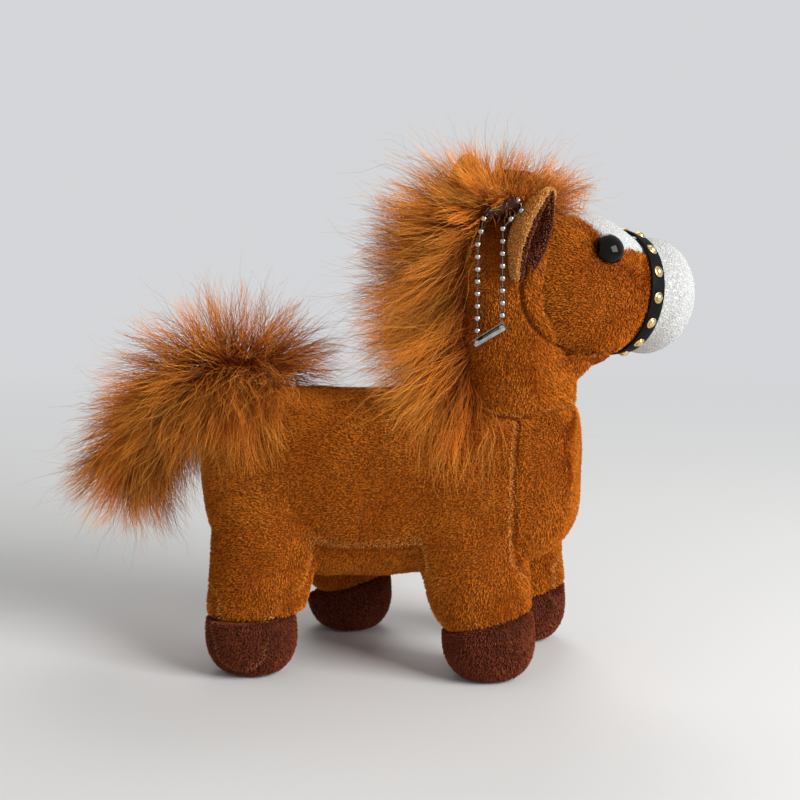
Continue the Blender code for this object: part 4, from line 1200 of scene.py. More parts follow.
def make_neck(body, head):
    """The neck's skin between body and head, and the surface of its whole form."""
    forms = [neck_form(), throat_form()]
    outside = surface_of(joined("joined", forms))
    for form in forms:
        for other in (body, head):
            carved(form, twin(other))
    skin = stuffed("neck_plush", forms, HEAD_VOXEL, 4, SKIN_SINK)
    from_head = jaw_distance(surface_of(head))
    creased(skin, from_head(places_of(skin.data)[0]), JAW_DEPTH, JAW_DEPTH * 1.3)
    co, _ = places_of(skin.data)
    proud = (1 - smoothstep(*CHEEK_STEP, cheek_edge(co))) * (co[:, 1] < NECK_FOOT.y)
    pushed(skin, proud * CHEEK_PROUD)
    creased(skin, cheek_edge(co), SEAM_DEPTH, CHEEK_SPREAD)
    lay_nap(skin, neck_nap)
    part_pile(skin, from_head, 0.1, JAW_BARE)
    part_pile(skin, cheek_edge, 0.0, CHEEK_BARE)
    from_body = distance_to(surface_of(body))
    # painted highlight beside the seam to the body, at 0.8
    part_pile(skin, lambda co: from_body(co) - NECK_SEAM_RISE, 0.8)

    def shown(middles):
        sunk = np.array([outside.find_nearest(Vector(m))[3] or 0 for m in middles])
        behind = middles[:, 0] < NECK_FOOT.x - NECK_RADIUS * 0.8
        return (sunk < INSIDE_DEPTH) & ~behind

    piled("neck_pile", skin, BROWN_PILE, "brown_plush", shown, 21)
    dressed(skin, BROWN_CLOTH, "brown_plush", ["neck_cover", "neck_filling"])
    return skin, outside


def smooth_path(points, count, parts=12):
    """That many equal steps along a smooth curve through the points."""
    fine = []
    for step in range(len(points) - 1):
        p0 = points[max(step - 1, 0)]
        p1 = points[step]
        p2 = points[step + 1]
        p3 = points[min(step + 2, len(points) - 1)]
        for part in range(parts):
            t = part / parts
            bend = 2 * p0 - 5 * p1 + 4 * p2 - p3
            twist = 3 * p1 - p0 - 3 * p2 + p3
            fine.append(0.5 * (2 * p1 + (p2 - p0) * t + bend * t**2 + twist * t**3))
    fine.append(points[-1])
    reach = [0]
    for near, far in zip(fine, fine[1:]):
        reach.append(reach[-1] + (far - near).length)
    path = []
    for step in range(count + 1):
        want = reach[-1] * step / count
        at = max(i for i in range(len(fine)) if reach[i] <= want + 1e-6)
        after = min(at + 1, len(fine) - 1)
        span = reach[after] - reach[at]
        path.append(fine[at].lerp(fine[after], (want - reach[at]) / span if span > 0 else 0))
    return path


def prism(name, outline, low, high, levels=()):
    """An outline in X and Y raised from one height to another, with rings at the levels between."""
    work = bmesh.new()
    rows = [[work.verts.new((x, y, z)) for x, y in outline] for z in (low, *levels, high)]
    work.faces.new(rows[0])
    work.faces.new(rows[-1])
    bridge(work, rows)
    return from_work(name, work)


def blaze_wedge(spread):
    """The wedge that holds the blaze, from the head's axis out through its top."""
    edge = [Vector((head_place(a), h * HEAD_RADIUS + spread, 0)) for a, h in BLAZE_OUTLINE_SHARES]
    half = [(place.x, place.y) for place in smooth_path(edge, 24)]
    rear = (half[0][0] - spread - HEAD_RADIUS * 0.06, 0.0)
    outline = [rear] + half + [(x, -y) for x, y in half[::-1]]
    wedge = prism("wedge", outline, HEAD_RADIUS * 0.25 - spread, HEAD_RADIUS * 1.5)
    wedge.data.transform(head_frame())
    return wedge


def carved(form, tool, operation="DIFFERENCE"):
    """The form cut by the tool, or what they share."""
    boolean = form.modifiers.new("cut", "BOOLEAN")
    boolean.operation = operation
    boolean.object = tool
    settle(form)
    drop(tool)
    return form


def twin(form):
    """A copy of the form."""
    return add("twin", form.data.copy())


def make_head(head, neck):
    """Two cheeks, the white blaze and the white muzzle, each its own cushion with a seam between."""
    frame_of_head = head_frame()
    turn = frame_of_head.to_3x3()
    seam = frame_of_head @ Vector((head_place(BAND_PLACE_SHARE), 0, 0))
    muzzle = sliced(twin(head), seam + turn.col[0] * SEAM_GAP, -turn.col[0])
    rear = sliced(twin(head), seam - turn.col[0] * SEAM_GAP, turn.col[0])
    blaze = carved(twin(rear), blaze_wedge(0), "INTERSECT")
    cheeks = carved(rear, blaze_wedge(2 * SEAM_GAP))
    outside = outside_of(surface_of(head))
    for side, sign in (("right", -1), ("left", 1)):
        half = sliced(twin(cheeks), HEAD_MIDDLE + turn.col[1] * (sign * SEAM_GAP), turn.col[1] * -sign)
        skin = stuffed("cheek_plush_" + side, [half], HEAD_VOXEL, 4, SKIN_SINK)
        if side == "right":
            creased(skin, cheek_edge(places_of(skin.data)[0]), SEAM_DEPTH, CHEEK_SPREAD)
        lay_nap(skin, head_nap)
        part_pile(skin, jaw_distance(neck), 0.0, JAW_BARE)
        if side == "right":
            part_pile(skin, cheek_edge, 0.0, CHEEK_BARE)
        piled("cheek_pile_" + side, skin, BROWN_PILE, "brown_plush", outside, 31 + sign)
        nodes = ["cheek_panel_" + side] + (["head_filling"] if side == "right" else [])
        dressed(skin, BROWN_CLOTH, "brown_plush", nodes)
    drop(cheeks)
    for name, form, replaced in (("blaze", blaze, "forehead_blaze"), ("muzzle", muzzle, "muzzle")):
        skin = stuffed(name + "_plush", [form], HEAD_VOXEL * 0.85, 4, SKIN_SINK)
        lay_nap(skin, head_nap)
        piled(name + "_pile", skin, WHITE_PILE, "white_plush", outside, 41, WHITE_PILE_SIZE)
        dressed(skin, WHITE_CLOTH, "white_plush", [replaced])


def outside_of(surface):
    """A rule that keeps the faces on the form's outside, not those inside it where its pieces meet."""

    def shown(middles):
        return np.array([(surface.find_nearest(Vector(m))[3] or 0) < INSIDE_DEPTH for m in middles])

    return shown


def band_edges(surface, angle):
    """The places under the noseband's two edges at a turn round the head, and the way out there."""
    frame_of_head = head_frame()
    out = frame_of_head.to_3x3() @ Vector((0, -math.sin(angle), math.cos(angle)))
    seam = head_place(BAND_PLACE_SHARE)
    edges = (-BAND_WIDTH / 2, BAND_WIDTH / 2)
    return [surface.ray_cast(frame_of_head @ Vector((seam + edge, 0, 0)), out)[0] for edge in edges], out


def make_noseband(surface):
    """The ribbon: rings of eight points with rounded edges and a fine rib across it, all the way round."""
    work = bmesh.new()
    rows = []
    for step in range(BAND_STEPS):
        (rear, front), out = band_edges(surface, math.tau * step / BAND_STEPS)
        rib = BAND_RIB if step % 2 else -BAND_RIB
        row = []
        for across, high in BAND_SECTION:
            lift = BAND_LIFT + high * (BAND_THICKNESS + rib)
            row.append(work.verts.new(rear.lerp(front, across) + out * lift))
        rows.append(row)
    bridge(work, rows + rows[:1])
    band = from_work("noseband_ribbon", work)
    band.data.shade_smooth()
    return dressed(band, BLACK_RIBBON, "black_ribbon", ["noseband"])


def points_with_ways(name, places, ways):
    """A mesh of loose points, each with the way that it faces."""
    mesh = bpy.data.meshes.new(name)
    mesh.from_pydata([tuple(place) for place in places], [], [])
    mark(mesh, "way", [tuple(way) for way in ways], "FLOAT_VECTOR")
    return add(name, mesh)


def turned(name, profile, steps):
    """A smooth shape turned round Z from (radius, height) points, listed down its outer side."""
    mesh = bpy.data.meshes.new(name)
    mesh.from_pydata([(r, 0, z) for r, z in profile], [(i, i + 1) for i in range(len(profile) - 1)], [])
    piece = add(name, mesh)
    screw = piece.modifiers.new("turn", "SCREW")
    screw.steps = steps
    screw.render_steps = steps
    screw.use_merge_vertices = True
    screw.merge_threshold = MERGE
    settle(piece)
    work = bmesh.new()
    work.from_mesh(piece.data)
    drop(piece)
    piece = from_work(name, work)
    piece.data.shade_smooth()
    return piece


def stud_shape():
    """A dome with a rolled foot."""
    profile = []
    for step in range(7):
        rise = math.pi / 2 * step / 6
        profile.append((STUD_RADIUS * 0.74 * math.sin(rise), STUD_HEIGHT * (0.25 + 0.75 * math.cos(rise))))
    profile += [(STUD_RADIUS * wide, STUD_HEIGHT * high) for wide, high in STUD_FOOT]
    return turned("stud_shape", profile, 18)


def make_studs(surface):
    """Dome studs at equal steps round the noseband."""
    shape = stud_shape()

    def shape_in(tree, given):
        return node(tree, "GeometryNodeObjectInfo", {"Object": given["Stud"]}, "Geometry")

    places = []
    ways = []
    for number in range(STUD_COUNT):
        (rear, front), out = band_edges(surface, math.tau * (number + 0.5) / STUD_COUNT)
        ahead = (front - rear).normalized()
        places.append((rear + front) / 2 + out * (BAND_THICKNESS + BAND_LIFT))
        ways.append((out - ahead * out.dot(ahead)).normalized())
    studs = points_with_ways("gold_studs", places, ways)
    grown(studs, repeat_tree("studs", shape_in, Stud="Object"), Stud=shape, Finish=GOLD)
    drop(shape)
    studs.data.shade_smooth()
    return dressed(studs, GOLD, "gold_studs", [f"stud_{n + 1:02d}" for n in range(STUD_COUNT)])


def make_eyes(surface):
    """Domed black eyes with a thin flange and a shank, seated in the plush."""
    frame_of_head = head_frame()
    turn = frame_of_head.to_3x3()
    middle = frame_of_head @ Vector((head_place(EYE_PLACE_SHARE), 0, 0))
    profile = []
    for step in range(13):
        rise = math.pi / 2 * step / 12
        profile.append((EYE_RADIUS * math.sin(rise), EYE_FLANGE + EYE_HEIGHT * math.cos(rise)))
    profile += [(EYE_RADIUS * wide, high) for wide, high in EYE_FOOT]
    profile += EYE_SHANK
    for side, sign in (("right", -1), ("left", 1)):
        out = turn @ Vector((0, sign * math.sin(EYE_ANGLE), math.cos(EYE_ANGLE)))
        place, normal, _, _ = surface.ray_cast(middle, out)
        eye = turned("eye_dome_" + side, profile, 48)
        eye.data.transform(frame_at(place, turn.col[2].cross(normal), normal))
        dressed(eye, EYE_PLASTIC, "black_eye", ["eye_" + side])


def ear_share(rise):
    """The ear's width at a share of its length, as a share of its widest."""
    heights = [height for height, _ in EAR_WIDTH_SHARES]
    return float(np.interp(rise, heights, [width for _, width in EAR_WIDTH_SHARES]))


def ear_axes(side):
    """The ear's root, the way to its tip and the way that its opening faces."""
    angle, rise, reach, facing = EAR_PLACES[side]
    axis_at = NECK_FOOT + Vector((rise * NECK_LEAN, 0, rise * NECK_LENGTH))
    root = axis_at + Vector((math.cos(angle), math.sin(angle), 0)) * (NECK_RADIUS * EAR_ROOT_SHARE)
    along = Vector(reach).normalized()
    front = Vector((math.cos(facing), math.sin(facing), 0))
    return root, along, (front - along * front.dot(along)).normalized()


def ear_leaf(name, side, depth, wrap, reach_share):
    """One folded leaf of an ear with a rounded rim."""
    root, along, front = ear_axes(side)
    across = along.cross(front)
    work = bmesh.new()
    grid = []
    for step in range(EAR_ROWS):
        share = reach_share * step / (EAR_ROWS - 1)
        half = ear_share(share) * EAR_OPENING / 2 - depth
        fold = ear_share(share) * EAR_FOLD_DEPTH - depth
        place = root + along * (share * EAR_LENGTH)
        row = []
        for column in range(EAR_COLUMNS):
            turn = wrap * (2 * column / (EAR_COLUMNS - 1) - 1)
            aside = across * (half * math.sin(turn))
            row.append(work.verts.new(place + aside - front * (fold * math.cos(turn))))
        grid.append(row)
    bridge(work, grid, closed=False)
    leaf = from_work(name, work)
    wall = leaf.modifiers.new("wall", "SOLIDIFY")
    wall.thickness = EAR_THICKNESS
    wall.offset = 0
    rounded(leaf, 2)
    leaf.data.shade_smooth()
    return leaf


def ear_nap(side):
    """Pile on an ear lies towards its tip."""
    way = np.array(Vector(EAR_PLACES[side][2]).normalized())
    return lambda co: np.tile(way, (len(co), 1))


def make_ears():
    """Two ears: a brown outer leaf and a dark lining whose rim shows round the opening, paler by a painted
    highlight.
    """
    for seed, side in enumerate(EAR_PLACES):
        outer = ear_leaf("ear_plush_" + side, side, 0.0, EAR_WRAP, 0.985)
        lining = ear_leaf("ear_lining_plush_" + side, side, EAR_THICKNESS * 0.9, LINING_WRAP, 0.96)
        root, _, front = ear_axes(side)
        for leaf, finish, pile, slot, nodes in (
            (outer, EAR_CLOTH, EAR_PILE, "brown_plush", ["ear_" + side]),
            (lining, DARK_CLOTH, DARK_PILE, "dark_plush", ["ear_lining_" + side]),
        ):
            lay_nap(leaf, ear_nap(side))
            co, _ = places_of(leaf.data)
            # painted highlight: paler pile on the rim round the opening
            rim = smoothstep(*EAR_RIM_REACH, (co - np.array(root)) @ np.array(front))
            mark(leaf.data, "pale", rim * EAR_RIM)
            name = leaf.name.replace("plush", "pile")
            piled(name, leaf, pile, slot, None, 51 + seed, EAR_PILE_SIZE, PILE_DENSITY * 0.8)
            dressed(leaf, finish, slot, nodes)


def arc(radius, start, end, steps):
    """Points along an arc round the origin."""
    turns = [start + (end - start) * step / steps for step in range(steps + 1)]
    return [(radius * math.cos(turn), radius * math.sin(turn)) for turn in turns]


def make_tab():
    """The ribbon folded round the chain, its two plies running down to the crown."""
    outer = TAB_BORE_RADIUS + TAB_RIBBON
    start = math.asin(TAB_RIBBON / outer)
    inner = math.asin(TAB_PLY_GAP / TAB_BORE_RADIUS)
    outline = [(TAB_STEM_LENGTH, TAB_RIBBON)]
    outline += arc(outer, start, math.tau - start, 32)
    outline += [(TAB_STEM_LENGTH, -TAB_RIBBON), (TAB_STEM_LENGTH, -TAB_PLY_GAP)]
    outline += arc(TAB_BORE_RADIUS, math.tau - inner, inner, 32)
    outline.append((TAB_STEM_LENGTH, TAB_PLY_GAP))
    half = TAB_WIDTH / 2
    levels = [half * share for share in np.linspace(-0.96, 0.96, 25)]
    tab = prism("tab_ribbon", outline, -half, half, levels)
    inwards = Vector((0, math.cos(TAB_STEM_DROP), -math.sin(TAB_STEM_DROP)))
    inwards = (inwards - TAB_AXIS * inwards.dot(TAB_AXIS)).normalized()
    turn = Matrix((inwards, TAB_AXIS.cross(inwards), TAB_AXIS)).transposed().to_4x4()
    tab.data.transform(Matrix.Translation(TAB_PLACE) @ turn)
    tab.data.shade_smooth()
    tab.data.set_sharp_from_angle(angle=math.radians(50))
    return dressed(tab, BROWN_RIBBON, "brown_ribbon", ["chain_tab"])


def line_mesh(name, lines, widths, shades, pale=None):
    """Lines through places. Each point has a half width, a share along its line, a shade and a paleness."""
    counts = [len(line) for line in lines]
    starts = np.cumsum([0] + counts[:-1])
    spans = [(start, start + count) for start, count in zip(starts, counts)]
    edges = np.concatenate([np.stack([np.arange(a, b - 1), np.arange(a + 1, b)], 1) for a, b in spans])
    mesh = bpy.data.meshes.new(name)
    mesh.from_pydata(np.concatenate(lines).tolist(), edges.tolist(), [])
    along = np.concatenate([np.linspace(0, 1, count) for count in counts])
    mark(mesh, "width", np.concatenate(widths))
    mark(mesh, "along", along)
    mark(mesh, "shade", np.repeat(shades, counts))
    if pale is not None:
        mark(mesh, "pale", np.clip(np.repeat(pale, counts) + TIP_PALE * along**2, 0, 1))
    return add(name, mesh)


def bead_shape(tree, given):
    """A round bead, with painted shade marked at its poles where the wire goes in."""
    inputs = {"Segments": 20, "Rings": 12, "Radius": given["Size"]}
    ball = node(tree, "GeometryNodeMeshUVSphere", inputs, "Mesh")
    ball = node(tree, "GeometryNodeSetShadeSmooth", {"Geometry": ball})
    height = node(tree, "ShaderNodeSeparateXYZ", {"Vector": node(tree, "GeometryNodeInputPosition")}, "Z")
    far = reckon(tree, "ABSOLUTE", reckon(tree, "DIVIDE", height, given["Size"]))
    # painted shade: darker towards both poles
    return keep(tree, ball, "hole", ranged(tree, far, 0.70, 0.92))


def make_strand(name, places, beads, node_name, body, tree):
    """A length of chain: round beads with the wire that joins them."""
    last = len(places) - 1
    ways = [(places[min(i + 1, last)] - places[max(i - 1, 0)]).normalized() for i in range(last + 1)]
    row = points_with_ways(name, [places[i] for i in beads], [ways[i] for i in beads])
    grown(row, tree, Size=BEAD_RADIUS, Finish=SILVER)
    line = np.array(smooth_path(places, 6 * last))
    wire = line_mesh("wire", [line], [np.full(len(line), WIRE_RADIUS)], RNG.random(1))
    grown(wire, STRANDS, Sides=8, Finish=SILVER)
    # painted shadow along the whole wire
    mark(wire.data, "hole", np.full(len(wire.data.vertices), WIRE_SHADOW))
    work = bmesh.new()
    work.from_mesh(row.data)
    work.from_mesh(wire.data)
    work.to_mesh(row.data)
    work.free()
    drop(wire)
    row.data.shade_smooth()
    return dressed(row, SILVER, "silver_chain", [node_name], body)


def make_chain():
    """The arch through the tab, the two strands that hang from it and the clip across their ends."""
    tree = repeat_tree("beads", bead_shape, Size="Float")
    points = [TAB_PLACE + Vector((across, 0, rise)) * BEAD_PITCH for across, rise in ARCH_SHARES]
    arch = smooth_path(points, ARCH_PITCHES)
    make_strand("beads_arch", arch, range(1, ARCH_PITCHES), "chain_arch", "arch", tree)
    ends = []
    for name, top, body in (("rear", arch[0], "rear_strand"), ("front", arch[-1], "front_strand")):
        places = [top - Vector((0, 0, step * BEAD_PITCH)) for step in range(STRAND_PITCHES + 1)]
        make_strand("beads_" + name, places, range(STRAND_PITCHES + 1), "chain_strand_" + name, body, tree)
        ends.append(places[-1])
    make_clip(*ends)


def make_clip(rear, front):
    """A folded sleeve of thin sheet with a slot along its top, open at both ends."""
    ahead = (front - rear).normalized()
    reach = (front - rear).length
    inner, outer = (
        arc(radius, CLIP_SLOT, math.tau - CLIP_SLOT, 36)
        for radius in (CLIP_BORE_RADIUS, CLIP_BORE_RADIUS + CLIP_WALL)
    )
    clip = prism("clip_sleeve", outer + inner[::-1], -reach - CLIP_END, CLIP_END)
    slot_way = ahead.cross(Vector((0, 1, 0)))
    slot_way = slot_way if slot_way.z > 0 else -slot_way
    turn = Matrix((slot_way, ahead.cross(slot_way), ahead)).transposed().to_4x4()
    clip.data.transform(Matrix.Translation(front) @ turn @ Matrix.Rotation(CLIP_ROLL, 4, "Z"))
    edge = clip.modifiers.new("edge", "BEVEL")
    edge.width = CLIP_EDGE
    edge.segments = 2
    edge.limit_method = "ANGLE"
    edge.angle_limit = math.radians(50)
    settle(clip)
    clip.data.shade_smooth()
    clip.data.set_sharp_from_angle(angle=math.radians(40))
    return dressed(clip, SILVER, "silver_chain", ["chain_clip"], "clip")


# Long fur: how strands leave their roots, bend, kink and sink, their sizes, the strays among them and their
# tones, how high they lie over a skin, and how far they may stand out of the part's box
FUR_UNRULY = 0.58
FUR_BEND = 0.55
FUR_KINK = 0.19
FUR_PULL = (-0.01, 0.0, -0.06)
HAIR_RADIUS = (0.00006, 0.00011)
HAIR_LENGTHS = (0.72, 1.12)
STRAY_SHARE = 0.17
STRAY_LENGTHS = (1.05, 1.40)
STRAY_THIN = 0.62
STRAY_TURN = 0.25
LOCK_TONE = 0.76
TIP_PALE = 0.30
FUR_LIFT = 0.0007
FUR_SEARCH = 0.012
FUR_SHARE_OUT = 0.03
FUR_OUT = 0.0095


def swirl(co, size, seed):
    """Smooth random directions at each point, alike within patches of about that size."""
    return drift(co, size, seed, noise.noise_vector, (5.3, 2.9, 7.1))


def locks(roots, aims, lengths, thin, steps=6):
    """Frizzy strands from roots. Neighbours lean and curl alike, and each strand has kinks of its own."""
    count = len(roots)
    paths = np.empty((count, steps + 1, 3))
    paths[:, 0] = roots
    way = unit(unit(aims) + swirl(roots, 0.0038, 3) * FUR_UNRULY + RNG.normal(0, 0.13, (count, 3)))
    curl = swirl(roots, 0.0055, 4) * FUR_BEND + RNG.normal(0, 0.10, (count, 3)) + np.array(FUR_PULL)
    for step in range(steps):
        way = unit(way + curl * (0.15 + 0.45 * step / steps))
        wander = unit(way + RNG.normal(0, FUR_KINK, (count, 3)))
        paths[:, step + 1] = paths[:, step] + wander * (lengths / steps)[:, None]
    taper = 1 - 0.80 * np.linspace(0, 1, steps + 1) ** 1.5
    return paths, np.outer(thin, taper)


def clumped(paths, clumps, hold):
    """Draw the tips of neighbouring strands towards one of them, which makes pointed locks."""
    leaders = RNG.choice(len(paths), clumps, replace=False)
    middle = paths[:, paths.shape[1] // 2]
    leader = np.empty(len(paths), int)
    for start in range(0, len(paths), 2000):
        gap = ((middle[start:start + 2000, None, :] - middle[leaders][None, :, :]) ** 2).sum(2)
        leader[start:start + 2000] = leaders[gap.argmin(1)]
    share = np.linspace(0, 1, paths.shape[1]) ** 1.3
    strength = RNG.uniform(0.1, 1.0, len(paths)) * hold
    return paths + (paths[leader] - paths) * (share[None, :, None] * strength[:, None, None]), leader


def kept_off(paths, surfaces):
    """Push strand points that sink into a skin back out over it."""
    flat = paths.reshape(-1, 3)
    for index, point in enumerate(flat):
        place = Vector(point)
        for surface in surfaces:
            near, normal, _, _ = surface.find_nearest(place, FUR_SEARCH)
            if near is None:
                continue
            height = (place - near).dot(normal)
            if height < FUR_LIFT:
                place = place + normal * (FUR_LIFT - height)
        flat[index] = place
    return flat.reshape(paths.shape)


def held_in(paths):
    """Shorten the strands that would stand out of the part's box further than fur may."""
    low, high = (np.array(corner) for corner in CAD_BOX)
    spare = (high - low) * FUR_SHARE_OUT + FUR_OUT
    root = paths[:, :1]
    reach = paths - root
    room = np.where(reach > 0, high + spare - root, root - (low - spare))
    share = (room / np.maximum(np.abs(reach), 1e-9)).min(axis=(1, 2))
    share = np.where(share < 1, share * RNG.uniform(0.80, 1.0, len(paths)), 1.0)
    return root + reach * share[:, None, None]


def lock_shades(leader, stray):
    """How light each strand is: mostly its lock's own tone, and a stray's own."""
    own = RNG.random(len(stray))
    locks_own = RNG.random(len(leader))
    own[~stray] = LOCK_TONE * locks_own[leader] + (1 - LOCK_TONE) * own[~stray]
    return own


def make_fur(name, paths, widths, shades, pale):
    """The strands as one piece of fur."""
    fur = line_mesh(name, list(paths), list(widths), shades, pale)
    grown(fur, STRANDS, Sides=3, Finish=LONG_FUR)
    fur.data.shade_smooth()
    return dressed(fur, LONG_FUR, "long_fur")


def grow_fur(name, roots, aims, lengths, clumps, hold, surfaces, pales, first, near, longer=None):
    """Fur from its roots, in three pieces: the first one, then the rest of the right and left sides."""
    count = len(roots)
    thin = RNG.uniform(*HAIR_RADIUS, count)
    stray = RNG.random(count) < STRAY_SHARE
    stretch = RNG.uniform(*STRAY_LENGTHS, stray.sum())
    if longer is not None:
        stretch = stretch + longer[stray] * RNG.uniform(0.0, 0.5, stray.sum())
    lengths[stray] *= stretch
    thin[stray] *= STRAY_THIN
    aims[stray] += RNG.normal(0, STRAY_TURN, (stray.sum(), 3))
    paths, widths = locks(roots, aims, lengths, thin)
    paths[~stray], leader = clumped(paths[~stray], clumps, hold)
    shades = lock_shades(leader, stray)
    paths = held_in(kept_off(paths, surfaces))
    pale = np.where(stray, RNG.uniform(*pales[0], count), RNG.uniform(*pales[1], count).clip(0))
    first_name, start = first
    for part_name, part in ((first_name, start), ("right", near & ~start), ("left", ~near & ~start)):
        make_fur(f"{name}_fur_{part_name}", paths[part], widths[part], shades[part], pale[part])


def fur_core(name, places, sizes):
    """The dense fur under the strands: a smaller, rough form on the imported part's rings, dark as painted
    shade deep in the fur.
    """
    rings = []
    for step, (place, (thick, wide)) in enumerate(zip(places, sizes)):
        ahead = (places[min(step + 1, len(places) - 1)] - places[max(step - 1, 0)]).normalized()
        across = Vector((0, 1, 0))
        across = (across - ahead * across.dot(ahead)).normalized()
        rings.append((place, across * (wide * CORE_SHARE), across.cross(ahead) * (thick * CORE_SHARE)))
    core = swelling(name + "_undercoat", rings, 16)
    co, _ = places_of(core.data)
    pushed(core, CORE_ROUGH * (drift(co, 0.0030, 9) + 0.6 * drift(co, 0.0013, 10)))
    core.data.shade_smooth()
    return dressed(core, UNDERFUR_SHADE, "long_fur", [name])


# Mane: share of the strip, its place ahead of the neck's axis and above its foot, the way and the length of
# the middle's fur, then of the side's fur. Ways are ahead, to the side and up
MANE_GUIDES = (
    (0.00, (0.0060, 0.0500), (0.88, 0.0, 0.62), 0.0175, (0.80, 0.55, 0.35), 0.0140),
    (0.14, (-0.0060, 0.0520), (0.02, 0.0, 1.00), 0.0170, (0.02, 0.95, 0.24), 0.0120),
    (0.30, (-0.0150, 0.0490), (-0.78, 0.0, 0.62), 0.0230, (-0.40, 0.80, -0.02), 0.0160),
    (0.48, (-0.0185, 0.0390), (-1.00, 0.0, 0.28), 0.0285, (-0.55, 0.40, -0.60), 0.0230),
    (0.65, (-0.0180, 0.0280), (-1.00, 0.0, 0.02), 0.0305, (-0.55, 0.40, -0.65), 0.0250),
    (0.80, (-0.0170, 0.0170), (-1.00, 0.0, -0.12), 0.0305, (-0.65, 0.60, -0.50), 0.0275),
    (0.92, (-0.0160, 0.0080), (-0.92, 0.0, -0.26), 0.0290, (-0.15, 0.65, -0.80), 0.0305),
    (1.00, (-0.0145, 0.0030), (-0.60, 0.0, -0.55), 0.0250, (0.42, 0.50, -0.90), 0.0330),
)
MANE_SPREAD = math.radians(46.0)
MANE_STRANDS = 9600
MANE_LOCKS = 640
MANE_PALES = ((0.3, 0.9), (-0.5, 0.35))

# Fur that lies over the tab: number of strands, their roots from the tab's middle, their way and lengths
TAB_COVER = 260
TAB_COVER_ALONG = (-0.0050, 0.0035)
TAB_COVER_PLACE = (0, 0.0035, 0.0016)
TAB_COVER_WAY = (-0.15, -0.80, 0.12)
TAB_COVER_LENGTHS = (0.0055, 0.0095)


def make_mane(surfaces):
    """The mane and forelock: fur from a strip over the crown and down the back of the neck."""
    places = []
    sizes = []
    for ahead, rise, thick, wide in MANE_RING_SHARES:
        places.append(NECK_FOOT + Vector((ahead * NECK_RADIUS, 0, rise * NECK_LENGTH)))
        sizes.append((thick * MANE_THICKNESS / 2, wide * MANE_WIDTH / 2))
    fur_core("mane", places, sizes)
    u = RNG.random(MANE_STRANDS)
    v = RNG.uniform(-1, 1, MANE_STRANDS)
    shares, places, middle_way, middle_length, side_way, side_length = zip(*MANE_GUIDES)

    def along(values):
        return np.stack([np.interp(u, shares, column) for column in zip(*values)], 1)

    place = along(places)
    turn = v * MANE_SPREAD * (1 + 0.24 * smoothstep(0.04, 0.12, u) * (1 - smoothstep(0.30, 0.42, u)))
    wide = np.abs(place[:, 0] + 0.002) + 0.003
    roots = np.stack([place[:, 0] + wide * (1 - np.cos(turn)), np.sin(turn) * NECK_RADIUS, place[:, 1]], 1)
    roots += np.array(NECK_FOOT)
    side_way = along(side_way)
    side_way[:, 1] *= np.sign(v)
    blend = np.abs(v) ** 1.4
    aims = along(middle_way) * (1 - blend[:, None]) + side_way * blend[:, None]
    middle_length, side_length = (np.interp(u, shares, part) for part in (middle_length, side_length))
    lengths = (middle_length * (1 - blend) + side_length * blend) * RNG.uniform(*HAIR_LENGTHS, MANE_STRANDS)
    over = slice(MANE_STRANDS - TAB_COVER, MANE_STRANDS)
    across = RNG.uniform(*TAB_COVER_ALONG, TAB_COVER)[:, None]
    roots[over] = np.array(TAB_PLACE) + across * np.array(TAB_AXIS) + TAB_COVER_PLACE
    roots[over] += RNG.normal(0, 0.0008, (TAB_COVER, 3))
    aims[over] = np.array(TAB_COVER_WAY) + RNG.normal(0, 0.22, (TAB_COVER, 3))
    lengths[over] = RNG.uniform(*TAB_COVER_LENGTHS, TAB_COVER)
    u[over] = 0.15
    v[over] = -0.9
    longer = (1 - smoothstep(0.25, 0.45, u)) * smoothstep(0.06, 0.20, u)
    crown = ("crown", u < 0.26)
    grow_fur("mane", roots, aims, lengths, MANE_LOCKS, 0.76, surfaces, MANE_PALES, crown, v < 0, longer)


# Tail: guide points ahead of the rump's end and above the back, and the fur there: how much of it stands
# out from the tail's core, goes along it and falls, and its length
TAIL_GUIDES = (
    (0.0190, 0.0005, 0.95, -0.70, 0.00, 0.0205),
    (0.0100, 0.0035, 0.90, 0.00, 0.06, 0.0205),
    (-0.0010, 0.0020, 0.80, 0.42, 0.18, 0.0210),
    (-0.0105, -0.0060, 0.70, 0.75, 0.28, 0.0220),
    (-0.0185, -0.0155, 0.60, 1.00, 0.28, 0.0232),
    (-0.0240, -0.0245, 0.50, 1.20, 0.22, 0.0235),
)
TAIL_STRANDS = 10200
TAIL_LOCKS = 600
TAIL_RADIUS = 0.0075
TAIL_CORE_ROWS = slice(1, 5)
TAIL_PALES = ((0.2, 0.8), (-0.6, 0.30))


